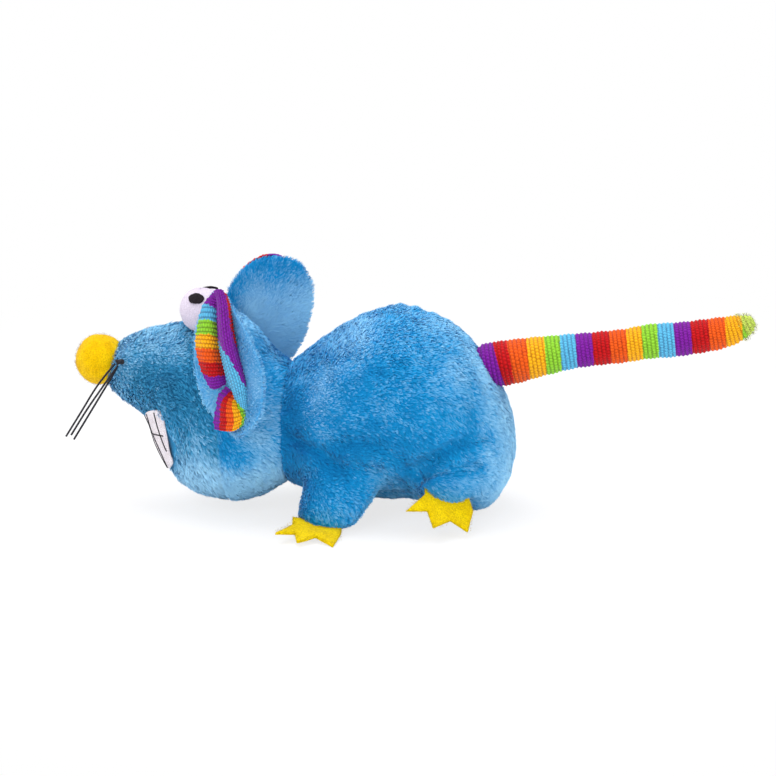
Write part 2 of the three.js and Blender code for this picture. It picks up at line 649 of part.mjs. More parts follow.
// Legs are cut by the body and by the room the nodding head needs. Feet are cut by their legs.
const nodRoom = seatGap + neckHeight * Math.sin(neckNod * DEGREE);
const bodyClear = bodyForm(seatGap, formRings, formSides);
const headRoom = inBody(headForm(nodRoom));
const legs = {
  front: {
    shares: frontLegShares, distance: frontLegDistance, out: frontLegOut, bottom: -standCut,
    height: frontLegHeight, halfLength: frontLegHalfLength, halfWidth: frontLegHalfWidth,
    foot: {
      crown: frontCrownShares, distance: frontFootDistance, out: frontFootOut, height: frontFootHeight,
      slope: frontFootSlope, tilt: frontFootTilt,
    },
  },
  rear: {
    shares: rearLegShares, distance: rearLegDistance, out: rearLegOut, bottom: rearLegBottom,
    height: rearLegHeight, halfLength: rearLegHalfLength, halfWidth: rearLegHalfWidth,
    foot: {
      crown: rearCrownShares, distance: rearFootDistance, out: rearFootOut, height: rearFootHeight,
      slope: rearFootSlope, tilt: rearFootTilt,
    },
  },
};
[[-1, 'left'], [1, 'right']].forEach(([side, sideName]) => {
  Object.entries(legs).forEach(([end, leg]) => {
    const limb = legForm(leg, side, 0).subtract(bodyClear).subtract(headRoom).subtract(floorCut);
    add(body, `${sideName}_${end}_leg`, limb, plushBlue);
    const foot = feltFoot(leg.foot, side).subtract(legForm(leg, side, footGap))
      .subtract(bodyClear)
      .subtract(floorCut);
    add(body, `${sideName}_${end}_foot`, foot, feltYellow);
  });
});

// Tail: a gathered root sits in a dimple of the rump, and the stuffed sleeve ends round it.
const tail = new THREE.Group();
tail.position.set(...tailRootAt);
body.add(tail);
const tailForm = (shrink, share) => {
  const line = new THREE.CatmullRomCurve3(tailShares.map(([along, up]) =>
    new THREE.Vector3(along * tailLength * share, 0, up * tailRise * share)));
  const thick = new THREE.CatmullRomCurve3(tailShares.map(([along, , wide]) =>
    new THREE.Vector3(along * tailLength, wide * tailRadius, 0)));
  const rings = [];
  for (let i = 0; i < tailRings; i++) {
    const centre = line.getPoint(i / tailRings);
    const along = line.getTangent(i / tailRings);
    const radius = Math.max(thick.getPoint(i / tailRings).y - shrink, seatGap);
    const up = new THREE.Vector3(-along.z, 0, along.x);
    const ring = [];
    for (let side = 0; side < tailSides; side++) {
      const angle = 2 * Math.PI * side / tailSides;
      const point = centre.clone().addScaledVector(up, radius * Math.sin(angle));
      point.y = radius * Math.cos(angle);
      ring.push(point);
    }
    rings.push(ring);
  }
  return solidOf(skin(rings, line.getPoint(0), line.getPoint(1)));
};
const rootClear = ball(tailRadius + seatGap, 0, 0, 0);
const hollowShare = 1 - tailWall / tailLength;
const fillingShare = hollowShare - seatGap / tailLength;
const sleeve = tailForm(0, 1).subtract(tailForm(tailWall, hollowShare)).subtract(rootClear);
add(tail, 'tail_root', ball(tailRadius, 0, 0, 0), knitPurple);
add(tail, 'tail_sleeve', sleeve, knitRainbow);
add(tail, 'tail_filling', tailForm(tailWall + seatGap, fillingShare).subtract(rootClear), fibreWhite);

// The origin is the middle of the box round the toy without its whiskers, on the floor.
toy.updateMatrixWorld(true);
const box = new THREE.Box3();
toy.traverse((part) => {
  if (part.isMesh && !/whisker_\d/.test(part.name)) box.expandByObject(part, true);
});
const middle = box.getCenter(new THREE.Vector3());
body.position.set(-middle.x, -middle.y, -box.min.z);

export default toy;
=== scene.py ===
"""A stuffed plush mouse for cats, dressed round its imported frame. Shapes are worked out in
millimetres in the frame's axes and turned into metres when a mesh is made."""
import math

import bpy
import numpy as np
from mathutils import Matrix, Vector
from mathutils.geometry import delaunay_2d_cdt
from mathutils.kdtree import KDTree


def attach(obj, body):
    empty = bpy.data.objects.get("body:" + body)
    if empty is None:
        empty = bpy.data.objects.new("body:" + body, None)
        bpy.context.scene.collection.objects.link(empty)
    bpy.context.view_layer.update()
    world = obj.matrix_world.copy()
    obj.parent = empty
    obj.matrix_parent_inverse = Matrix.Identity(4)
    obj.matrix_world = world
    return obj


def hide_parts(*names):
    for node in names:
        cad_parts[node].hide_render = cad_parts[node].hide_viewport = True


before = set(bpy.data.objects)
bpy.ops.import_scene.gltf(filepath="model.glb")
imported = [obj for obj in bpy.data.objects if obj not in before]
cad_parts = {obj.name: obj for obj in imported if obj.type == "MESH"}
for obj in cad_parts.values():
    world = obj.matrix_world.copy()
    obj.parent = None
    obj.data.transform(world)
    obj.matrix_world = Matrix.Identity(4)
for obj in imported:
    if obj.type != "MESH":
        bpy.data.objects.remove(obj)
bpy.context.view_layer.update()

MM = 0.001
BODY_AT = np.array((-52.202, 0.0, 0.0))
NECK_AT = np.array((-43.203, 0.0, 32.102))
TAIL_AT = np.array((29.998, 0.0, 52.598))
SIDES = ((-1, "left"), (1, "right"))
# How far the head is turned from the body's line
TURN = math.radians(10)
# The photograph: its side in pixels, pixels per millimetre, the frame's origin in it, and the camera's tilt
PICTURE, PX_MM, U0, V0, TILT = 776, 2.9, 414.65, 510.0, math.radians(16)
rng = np.random.default_rng(7)


# Colours, noise and curves

def rgb(*levels):
    """Linear colour with alpha from 0 to 255 values."""
    parts = (level / 255 for level in levels)
    return (*(v / 12.92 if v <= 0.04045 else ((v + 0.055) / 1.055) ** 2.4 for v in parts), 1.0)


def noise(p, scale, seed=0):
    """Smooth value noise from -1 to 1 at points p."""
    q = np.asarray(p, float) / scale
    cell = np.floor(q).astype(np.int64)
    f = q - cell
    f = f * f * (3 - 2 * f)
    total = np.zeros(q.shape[:-1])
    for corner in np.ndindex(2, 2, 2):
        x, y, z = (cell[..., k] + corner[k] for k in range(3))
        h = (x * 73856093) ^ (y * 19349663) ^ (z * 83492791) ^ (seed * 2654435761)
        h = ((h ^ (h >> 13)) * 1274126177) & 0x7FFFFFFF
        h = h ^ (h >> 16)
        wx, wy, wz = (f[..., k] if corner[k] else 1 - f[..., k] for k in range(3))
        total += ((h & 0xFFFF) / 32767.5 - 1) * wx * wy * wz
    return total


def catmull(points, t):
    """A centripetal Catmull-Rom curve through points, at t from 0 to 1."""
    points = np.asarray(points, float)
    last = len(points) - 1
    at = np.clip(np.asarray(t, float), 0, 1) * last
    i = np.minimum(at.astype(int), last - 1)
    w = (at - i)[:, None]
    ext = np.vstack((2 * points[0] - points[1], points, 2 * points[-1] - points[-2]))
    p0, p1, p2, p3 = ext[i], ext[i + 1], ext[i + 2], ext[i + 3]

    def knot(a, b):
        return np.maximum(np.sqrt(np.linalg.norm(b - a, axis=1)), 1e-4)[:, None]
    d0, d1, d2 = knot(p0, p1), knot(p1, p2), knot(p2, p3)
    t1 = ((p1 - p0) / d0 - (p2 - p0) / (d0 + d1) + (p2 - p1) / d1) * d1
    t2 = ((p2 - p1) / d1 - (p3 - p1) / (d1 + d2) + (p3 - p2) / d2) * d1
    c2 = -3 * p1 + 3 * p2 - 2 * t1 - t2
    c3 = 2 * p1 - 2 * p2 + t1 + t2
    return p1 + t1 * w + c2 * w ** 2 + c3 * w ** 3


def circle(count):
    """Angles at even steps round a circle."""
    return np.linspace(0, 2 * math.pi, count, endpoint=False)


def unit(v):
    return v / np.maximum(np.linalg.norm(v, axis=-1, keepdims=True), 1e-9)


def smooth(x, low, high):
    """0 below low, 1 above high, and an even rise between."""
    x = np.clip((x - low) / (high - low), 0, 1)
    return x * x * (3 - 2 * x)


def hill(x, middle, width):
    """1 at the middle, falling to 0 within about two widths."""
    return np.exp(-((x - middle) / width) ** 2)


def head_to_world(p):
    """From the head's own axes at the neck to the frame."""
    p = np.asarray(p, float)
    c, s = math.cos(TURN), math.sin(TURN)
    x = p[..., 0] * c + p[..., 1] * s
    y = -p[..., 0] * s + p[..., 1] * c
    return np.stack((x, y, p[..., 2]), -1) + NECK_AT


def world_to_head(p):
    p = np.asarray(p, float) - NECK_AT
    c, s = math.cos(TURN), math.sin(TURN)
    return np.stack((p[..., 0] * c - p[..., 1] * s, p[..., 0] * s + p[..., 1] * c, p[..., 2]), -1)


def picture(u, v, y=0.0):
    """The frame's point at depth y that the photograph shows at u, v."""
    u, v, y = (np.asarray(n, float) for n in (u, v, y))
    z = ((V0 - v) / PX_MM - math.sin(TILT) * y) / math.cos(TILT)
    return np.stack(np.broadcast_arrays((u - U0) / PX_MM, y, z), -1)


def near_line(p, line):
    """How far each point is from a line through points, in as many axes as they have."""
    best = np.full(p.shape[:-1], 1e9)
    for a, b in zip(line[:-1], line[1:]):
        a, b = np.asarray(a, float), np.asarray(b, float)
        share = np.clip(((p - a) @ (b - a)) / max((b - a) @ (b - a), 1e-9), 0, 1)
        best = np.minimum(best, np.linalg.norm(p - a - share[..., None] * (b - a), axis=-1))
    return best


def ridge(p, line, width):
    """1 on a line through points, falling to 0 within about two widths."""
    return np.exp(-(near_line(p, line) / width) ** 2)


# Camera: a long lens, tilted down at the toy

def make_camera():
    data = bpy.data.cameras.new("camera")
    data.sensor_width = 36
    data.lens = 300
    data.clip_end = 50
    distance = PICTURE / PX_MM * MM * data.lens / data.sensor_width
    target = Vector(picture(PICTURE / 2, PICTURE / 2)) * MM
    camera = bpy.data.objects.new("camera", data)
    camera.location = target + distance * Vector((0, -math.cos(TILT), math.sin(TILT)))
    camera.rotation_euler = (math.pi / 2 - TILT, 0, 0)
    bpy.context.scene.collection.objects.link(camera)
    bpy.context.scene.camera = camera


make_camera()


# Materials

WHITE = (1.0, 1.0, 1.0, 1.0)


def join(owner, value, socket):
    """Links a node's output to a socket, or sets the socket to a number or colour."""
    if isinstance(value, (int, float, tuple)):
        socket.default_value = value
    else:
        owner.node_tree.links.new(value, socket)


def node(owner, kind, inputs=None, **settings):
    """A new node of a material or world, with its settings, and its inputs linked or set."""
    made = owner.node_tree.nodes.new("ShaderNode" + kind)
    for key, value in settings.items():
        setattr(made, key, value)
    for key, value in (inputs or {}).items():
        join(owner, value, made.inputs[key])
    return made


def shade(material, inputs):
    """Links or sets inputs of the material's shader."""
    for key, value in inputs.items():
        join(material, value, material.node_tree.nodes["Principled BSDF"].inputs[key])


def new_material(name, colour, roughness, sheen=0.0, specular=0.2):
    material = bpy.data.materials.new(name)
    material.use_nodes = True
    shade(material, {"Base Color": colour, "Roughness": roughness, "Specular IOR Level": specular,
                     "Sheen Weight": sheen, "Sheen Roughness": 0.5})
    return material


def add_bump(material, height, distance):
    bump = node(material, "Bump", {"Distance": distance * MM, "Strength": 1.0, "Height": height})
    shade(material, {"Normal": bump.outputs["Normal"]})


def grain(material, size, detail):
    """Noise of about the given size in millimetres."""
    vector = node(material, "TexCoord").outputs["Object"]
    texture = node(material, "TexNoise", {"Scale": 1 / (size * MM), "Detail": detail, "Vector": vector})
    return texture.outputs["Fac"]


def ramp(material, value, *stops):
    """A value turned into colours, from pairs of a value and its colour."""
    colours = node(material, "ValToRGB", {"Fac": value})
    for element, (at, colour) in zip(colours.color_ramp.elements, stops[:2]):
        element.position, element.color = at, colour
    for at, colour in stops[2:]:
        colours.color_ramp.elements.new(at).color = colour
    return colours.outputs["Color"]


def attribute(material, name, output="Fac"):
    return node(material, "Attribute", attribute_name=name).outputs[output]


def multiply(material, factor, a, b):
    """Colour a times colour b, as far as the factor says."""
    inputs = {0: factor, 6: a, 7: b}
    return node(material, "Mix", inputs, data_type="RGBA", blend_type="MULTIPLY").outputs[2]


def thread_material():
    material = new_material("waxed_thread", rgb(30, 27, 31), 0.6, specular=0.25)
    fibres = grain(material, 0.5, 3)
    shade(material, {"Base Color": ramp(material, fibres, (0.3, rgb(14, 12, 16)), (0.75, rgb(40, 37, 44)))})
    add_bump(material, fibres, 0.12)
    return material


def plush_material(name, deep, middle, light):
    """Pile with painted shade deep at its roots and a painted sheen lighter at its tips, painted light and shade
    and random tone from its tone attribute, and random paler and deeper patches.
    """
    material = new_material(name, middle, 0.95, 0.5, 0.08)
    inputs = {0: attribute(material, "tip"), 1: 0.22, 2: attribute(material, "tone")}
    level = node(material, "Math", inputs, operation="MULTIPLY_ADD").outputs["Value"]
    strands = ramp(material, level, (0.1, deep), (0.52, middle), (0.98, light))
    patches = ramp(material, grain(material, 7, 3), (0.3, rgb(226, 236, 244)), (0.7, WHITE))
    shade(material, {"Sheen Tint": rgb(190, 226, 250), "Base Color": multiply(material, 0.6, strands, patches)})
    return material


def knit_material(name):
    """Knitted yarn: its own colour, with painted shade between the loops, and fine fibres."""
    material = new_material(name, rgb(200, 120, 40), 0.85, 0.12, 0.15)
    # Painted shade: a low tone darkens the yarn where the loops sink.
    loops = ramp(material, attribute(material, "tone"), (0.1, rgb(172, 158, 172)), (0.65, WHITE))
    fibres = grain(material, 0.35, 3)
    soft = ramp(material, fibres, (0.3, rgb(214, 210, 214)), (0.7, WHITE))
    yarn = multiply(material, 1.0, attribute(material, "paint", "Color"), loops)
    shade(material, {"Base Color": multiply(material, 1.0, yarn, soft)})
    add_bump(material, fibres, 0.1)
    return material


def felt_material(name, low, high, size=0.5):
    """Matted fibres of about the given size, in blotches between two colours."""
    material = new_material(name, high, 0.95, 0.06, 0.04)
    fibres = grain(material, size, 5)
    blotches = ramp(material, grain(material, 4, 2), (0.3, low), (0.7, high))
    mat = ramp(material, fibres, (0.3, rgb(205, 200, 190)), (0.65, WHITE))
    shade(material, {"Base Color": multiply(material, 1.0, blotches, mat)})
    add_bump(material, fibres, 0.25)
    return material


THREAD = thread_material()
PLUSH = plush_material("plush_blue", rgb(0, 104, 168), rgb(8, 150, 212), rgb(160, 218, 248))
FACE = plush_material("plush_face", rgb(6, 80, 124), rgb(48, 148, 196), rgb(166, 220, 248))
KNIT = knit_material("knit_rainbow")
WHITE_KNIT = knit_material("knit_white")
FELT = felt_material("felt_yellow", rgb(230, 196, 0), rgb(243, 212, 0))
WOOL = felt_material("pompom_wool", rgb(234, 184, 0), rgb(244, 200, 8), 0.4)
PANEL = felt_material("panel_white", rgb(226, 218, 226), rgb(240, 234, 240), 0.3)
PUPIL = felt_material("pupil_felt", rgb(26, 22, 27), rgb(44, 38, 44), 0.4)
FIBRE = felt_material("fibre_filling", rgb(236, 236, 232), rgb(248, 248, 246), 1.2)
SACHET = felt_material("sachet_cloth", rgb(140, 152, 104), rgb(166, 178, 128), 0.6)


# Meshes

def make_mesh(name, verts, faces, floats=None, colours=None, uv=None, normals=None):
    """An object from vertices in millimetres and arrays of quads and triangles."""
    mesh = bpy.data.meshes.new(name)
    verts = np.ascontiguousarray(verts, np.float64).reshape(-1, 3)
    mesh.vertices.add(len(verts))
    mesh.vertices.foreach_set("co", (verts * MM).ravel())
    faces = [np.asarray(f, np.int32) for f in faces if len(f)]
    corners = np.concatenate([f.ravel() for f in faces])
    sizes = np.concatenate([np.full(len(f), f.shape[1], np.int32) for f in faces])
    mesh.loops.add(len(corners))
    mesh.loops.foreach_set("vertex_index", corners)
    mesh.polygons.add(len(sizes))
    mesh.polygons.foreach_set("loop_start", np.concatenate(([0], np.cumsum(sizes)[:-1])).astype(np.int32))
    mesh.polygons.foreach_set("use_smooth", np.ones(len(sizes), bool))
    mesh.update(calc_edges=True)
    for key, values in (floats or {}).items():
        layer = mesh.attributes.new(key, "FLOAT", "POINT")
        layer.data.foreach_set("value", np.asarray(values, np.float32).ravel())
    if colours is not None:
        layer = mesh.attributes.new("paint", "FLOAT_COLOR", "POINT")
        layer.data.foreach_set("color", np.asarray(colours, np.float32).ravel())
    if uv is not None:
        layer = mesh.uv_layers.new(name="OFBake")
        layer.data.foreach_set("uv", np.asarray(uv, np.float32)[corners].ravel())
    if normals is not None:
        mesh.normals_split_custom_set_from_vertices(np.asarray(normals, np.float32))
    obj = bpy.data.objects.new(name, mesh)
    bpy.context.scene.collection.objects.link(obj)
    return obj


def place(obj, material, body, *nodes, slot=None):
    """Gives a piece its material, its body and the solids it replaces. Its slot is not used. A name that
    the frame has too ends in a point and a number."""
    obj.data.materials.append(material)
    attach(obj, body)
    if nodes:
        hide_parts(*nodes)
    return obj


def grid_faces(rows, cols, wrap):
    """Quads of a grid of rows by cols points, joined round where wrap is true."""
    i, j = np.meshgrid(np.arange(rows - 1), np.arange(cols if wrap else cols - 1), indexing="ij")
    k = (j + 1) % cols
    return np.stack((i * cols + j, i * cols + k, (i + 1) * cols + k, (i + 1) * cols + j), -1).reshape(-1, 4)


def vertex_normals(verts, quads):
    a, b, c, d = (verts[quads[:, i]] for i in range(4))
    face = np.cross(c - a, d - b)
    total = np.zeros_like(verts)
    for i in range(4):
        for k in range(3):
            total[:, k] += np.bincount(quads[:, i], face[:, k], len(verts))
    return unit(total)


def grid_normals(points, wrap):
    rows, cols = points.shape[:2]
    return vertex_normals(points.reshape(-1, 3), grid_faces(rows, cols, wrap)).reshape(points.shape)


def inside_out(verts, quads, away):
    """Whether the quads face against the way out, which is given for each vertex."""
    a, b, c = (verts[quads[:, i]] for i in range(3))
    return np.sum(np.cross(b - a, c - a) * away[quads[:, 0]]) < 0


def shell(points):
    """A closed skin over a grid of rings, with a pole at each end."""
    rows, cols = points.shape[:2]
    verts = np.vstack((points.reshape(-1, 3), points[0].mean(0), points[-1].mean(0)))
    j = np.arange(cols)
    k = (j + 1) % cols
    last, n = (rows - 1) * cols, rows * cols
    caps = np.vstack((np.stack((0 * j + n, k, j), -1), np.stack((0 * j + n + 1, last + j, last + k), -1)))
    quads = grid_faces(rows, cols, True)
    if inside_out(verts, quads, verts - verts.mean(0)):
        quads, caps = quads[:, ::-1], caps[:, ::-1]
    return verts, quads, caps


def closed_mesh(name, points, floats=None, colours=None):
    """An object of the closed skin over a grid of rings."""
    v, q, caps = shell(points)
    return make_mesh(name, v, (q, caps), floats, colours)


def evaluated(obj):
    """Vertices in millimetres and quads of an object with its modifiers. The object itself goes."""
    held = obj.evaluated_get(bpy.context.evaluated_depsgraph_get())
    mesh = held.to_mesh()
    verts = np.zeros(len(mesh.vertices) * 3)
    mesh.vertices.foreach_get("co", verts)
    quads = np.zeros(len(mesh.loops), np.int32)
    mesh.loops.foreach_get("vertex_index", quads)
    held.to_mesh_clear()
    data = obj.data
    bpy.data.objects.remove(obj)
    bpy.data.meshes.remove(data)
    return verts.reshape(-1, 3) / MM, quads.reshape(-1, 4)


def fuse(shells, voxel):
    """One closed mesh round overlapping shells, in quads of about voxel millimetres."""
    verts, quads, caps, base = [], [], [], 0
    for v, q, c in shells:
        verts.append(v)
        quads.append(q + base)
        caps.append(c + base)
        base += len(v)
    obj = make_mesh("fuse", np.vstack(verts), (np.vstack(quads), np.vstack(caps)))
    remesh = obj.modifiers.new("fuse", "REMESH")
    remesh.mode = "VOXEL"
    remesh.voxel_size = voxel * MM
    out, faces = evaluated(obj)
    return out, faces[:, ::-1] if inside_out(out, faces, out - out.mean(0)) else faces


def relax(verts, quads, weight, rounds):
    """Laplacian smoothing, by a weight for each vertex."""
    edges = np.vstack((quads[:, (0, 1)], quads[:, (1, 2)], quads[:, (2, 3)], quads[:, (3, 0)]))
    count = np.maximum(np.bincount(edges[:, 0], minlength=len(verts)), 1)
    for _ in range(rounds):
        mean = np.stack([np.bincount(edges[:, 0], verts[edges[:, 1], k], len(verts)) for k in range(3)], -1)
        verts = verts + np.asarray(weight)[..., None] * (mean / count[:, None] - verts)
    return verts


# The cloth simulation: its mesh's size in millimetres, its scale and its frames
BAG_VOXEL, BAG_SCALE, BAG_FRAMES = 3.4, 4.0, 20


def inflate(shells, start, pinned, cap):
    """Sews a coarse bag, fills it with Blender's cloth pressure, and gives where its points were and
    how far they moved. pinned is 1 where the cloth is held by a seam. The bag is some times as large
    as the toy, which suits the solver."""
    verts, quads = fuse(shells, BAG_VOXEL)
    verts = verts - start * vertex_normals(verts, quads)
    obj = make_mesh("bag", verts * BAG_SCALE, (quads,))
    held = obj.vertex_groups.new(name="seams")
    for i, weight in enumerate(np.clip(pinned(verts), 0, 1)):
        if weight > 0.02:
            held.add([i], float(weight), "REPLACE")
    cloth = obj.modifiers.new("cloth", "CLOTH")
    for key, value in {
            "quality": 6, "mass": 0.3, "tension_stiffness": 12, "compression_stiffness": 12, "shear_stiffness": 4,
            "bending_stiffness": 0.4, "use_pressure": True, "uniform_pressure_force": 400,
            "vertex_group_mass": "seams", "pin_stiffness": 1}.items():
        setattr(cloth.settings, key, value)
    cloth.settings.effector_weights.gravity = 0
    cloth.point_cache.frame_start, cloth.point_cache.frame_end = 1, BAG_FRAMES
    for number in range(1, BAG_FRAMES + 1):
        bpy.context.scene.frame_set(number)
    out, _ = evaluated(obj)
    bpy.context.scene.frame_set(1)
    moved = out / BAG_SCALE - verts
    far = np.linalg.norm(moved, axis=1, keepdims=True)
    return verts, moved * np.minimum(1, cap / np.maximum(far, 1e-6))


def carried(points, places, moved):
    """The movement of the coarse bag at each fine point."""
    tree = KDTree(len(places))
    for i, point in enumerate(places):
        tree.insert(point, i)
    tree.balance()
    total = np.zeros_like(points)
    for i, point in enumerate(points):
        near = tree.find_n(point, 6)
        weight = np.array([1 / (0.4 + far * far) for _, _, far in near])
        total[i] = (moved[[index for _, index, _ in near]] * weight[:, None]).sum(0) / weight.sum()
    return total


def patch(verts, quads, keep):
    """The kept quads with only their own vertices, and the old number of each vertex."""
    used, new = np.unique(quads[keep].ravel(), return_inverse=True)
    return verts[used], new.reshape(-1, 4), used


# Pile: leaning strands in clumps

# The strands' lean in degrees, strands to a clump, how far a clump draws its tips together, the lowest
# a strand may hang in millimetres, and the tone that a strand starts from
LEAN, CLUMP, PULL, PILE_FLOOR, STRAND_TONE = 30.0, 6, 0.4, 0.15, 0.38


def strand_faces(n):
    """The faces of n strands of five points each: two at the root, two halfway and one at the tip."""
    base = 5 * np.arange(n)[:, None]
    return base + np.array((0, 1, 3, 2)), base + np.array((2, 3, 4))


def pile(name, verts, quads, normals, flow, density, length, width, tone=None, cut=None, mixed=0.055):
    """Strands all over the quads, so many to a square millimetre. flow gives the nap's direction, cut
    drops roots where it is true, and mixed is how much the clumps differ in tone."""
    tris = np.vstack((quads[:, (0, 1, 2)], quads[:, (0, 2, 3)]))
    a, b, c = verts[tris[:, 0]], verts[tris[:, 1]], verts[tris[:, 2]]
    area = np.linalg.norm(np.cross(b - a, c - a), axis=1) / 2
    total = int(area.sum() * density * (1))
    pick = np.searchsorted(np.cumsum(area) / area.sum(), (np.arange(total) + rng.random(total)) / total)
    pick = np.minimum(pick, len(tris) - 1)
    r1, r2 = np.sqrt(rng.random(total)), rng.random(total)
    w = np.stack((1 - r1, r1 * (1 - r2), r1 * r2), -1)[..., None]
    root = (verts[tris[pick]] * w).sum(1)
    up = unit((normals[tris[pick]] * w).sum(1))
    if cut is not None:
        keep = ~cut(root)
        root, up = root[keep], up[keep]
    n = len(root)
    along = flow(root)
    along = unit(along - (along * up).sum(-1, keepdims=True) * up)
    turn = 0.55 * noise(root, 7, 5) + 0.3 * noise(root, 2.5, 6) + 0.22 * rng.standard_normal(n)
    aside = np.cross(up, along)
    along = along * np.cos(turn)[:, None] + aside * np.sin(turn)[:, None]
    heart = rng.choice(n, max(n // CLUMP, 1), replace=False)
    tree = KDTree(len(heart))
    for i, point in enumerate(root[heart]):
        tree.insert(point, i)
    tree.balance()
    mine = heart[np.array([tree.find(point)[1] for point in root])]
    raised = np.radians(LEAN + 9 * noise(root, 4, 8) + 5 * rng.standard_normal(n))
    reach = length * (0.9 + 0.25 * noise(root, 3, 9) + 0.14 * rng.standard_normal(n))
    reach = np.clip(reach, 0.4 * length, 1.35 * length)
    rise, run = np.sin(raised)[:, None], np.cos(raised)[:, None]
    tip = root + reach[:, None] * (run * along + rise * up)
    tip = tip + PULL * (tip[mine] - tip)
    early = raised + 0.3
    mid = root + 0.52 * reach[:, None] * (np.cos(early)[:, None] * along + np.sin(early)[:, None] * up)
    mid = mid + 0.5 * PULL * (root[mine] + 0.52 * (tip[mine] - root[mine]) - mid)
    reachway = unit(tip - root)
    across = unit(np.cross(up, reachway))
    facing = np.cross(reachway, across)
    roll = 0.5 * rng.standard_normal(n)[:, None]
    across = unit(across * np.cos(roll) + facing * np.sin(roll))
    facing = np.cross(reachway, across)
    facing = facing * np.sign((facing * up).sum(-1, keepdims=True))
    half = 0.5 * width * (0.8 + 0.4 * rng.random(n))[:, None]
    points = np.stack((root - across * half - 0.3 * up, root + across * half - 0.3 * up,
                       mid - across * half * 0.9, mid + across * half * 0.9, tip), 1)
    points[..., 2] = np.maximum(points[..., 2], PILE_FLOOR)
    four, three = strand_faces(n)
    tones = np.zeros(n)
    tones[heart] = STRAND_TONE + mixed * rng.standard_normal(len(heart))
    tones = tones[mine] + 0.035 * rng.standard_normal(n)
    if tone is not None:
        tones = tones + tone(root)
    side = math.ceil(math.sqrt(n))
    corner = np.stack((np.arange(n) % side, np.arange(n) // side), -1)[:, None, :]
    cell = np.array(((0.15, 0.1), (0.85, 0.1), (0.15, 0.55), (0.85, 0.55), (0.5, 0.9)))
    uv = ((corner + cell) / side).reshape(-1, 2)
    turned = (np.cross(points[:, 1] - points[:, 0], points[:, 3] - points[:, 0]) * up).sum(-1) < 0
    four[turned], three[turned] = four[turned][:, ::-1], three[turned][:, ::-1]
    # tip runs from 0 at the root to 1 at the tip, for the painted shade at the roots and the painted sheen at the
    # tips.
    levels = {"tip": np.tile((0, 0, 0.55, 0.55, 1.0), n), "tone": np.clip(np.repeat(tones, 5), 0, 1)}
    shading = np.repeat(unit(0.72 * up + 0.28 * facing), 5, 0)
    return make_mesh(name, points, (four, three), levels, uv=uv, normals=shading)


# Whiskers: waxed threads, whose routes are those of their solids

WHISKER_LENGTH = 32.0
KNOT = np.array((-57.002, 12.522, 21.701))
ROUTES = {"left": (
    ((-0.044, 0.025, -0.016), (-0.113, 0.109, -0.097), (-0.216, 0.241, -0.241),
     (-0.331, 0.403, -0.447), (-0.469, 0.581, -0.691)),
    ((-0.009, 0.056, -0.025), (-0.063, 0.159, -0.106), (-0.144, 0.306, -0.231),
     (-0.25, 0.488, -0.397), (-0.381, 0.716, -0.631)),
    ((-0.022, 0.038, -0.056), (-0.069, 0.128, -0.15), (-0.147, 0.269, -0.294),
     (-0.238, 0.441, -0.463), (-0.356, 0.694, -0.684)),
), "right": (
    ((0.025, 0.059, -0.009), (0.075, 0.181, -0.056), (0.166, 0.353, -0.138),
     (0.3, 0.547, -0.263), (0.5, 0.772, -0.463)),
    ((-0.009, 0.066, -0.031), (0.028, 0.2, -0.109), (0.113, 0.384, -0.228),
     (0.244, 0.584, -0.388), (0.397, 0.772, -0.566)),
    ((0.013, 0.053, -0.05), (0.041, 0.163, -0.153), (0.113, 0.316, -0.297),
     (0.231, 0.503, -0.459), (0.375, 0.703, -0.659)),
)}


def strand(name, points, radius):
    """A round curve through points in millimetres."""
    curve = bpy.data.curves.new(name, "CURVE")
    curve.dimensions = "3D"
    curve.bevel_depth = radius * MM
    curve.bevel_resolution = 3
    curve.use_fill_caps = True
    spline = curve.splines.new("POLY")
    spline.points.add(len(points) - 1)
    for point, at in zip(spline.points, points * MM):
        point.co = (*at, 1)
    obj = bpy.data.objects.new(name, curve)
    bpy.context.scene.collection.objects.link(obj)
    return obj


def whisker(name, route, knot, side):
    points = np.array([(a, side * out, up) for a, out, up in route]) * WHISKER_LENGTH + knot
    points = catmull(head_to_world(points), np.linspace(0, 1, 25))
    obj = place(strand(name + "_thread", points, 0.35), THREAD, "head", name)


for side, side_name in SIDES:
    knot_at = KNOT * (1, side, 1)
    for number, route in enumerate(ROUTES[side_name], 1):
        whisker(f"{side_name}_whisker_{number}", route, knot_at, side)
    turns = np.linspace(0, 2 * math.pi, 61)
    ring = np.stack((np.sin(turns) + 2 * np.sin(2 * turns), np.cos(turns) - 2 * np.cos(2 * turns),
                     -np.sin(3 * turns)), -1)
    knot = strand(f"{side_name}_whisker_knot_thread", head_to_world(ring * (0.42, 0.34, 0.44) + knot_at), 0.46)
    place(knot, THREAD, "head", f"{side_name}_whisker_knot")


# Body, legs and head: stuffed forms, whose rows are shares of length, height, height and half width

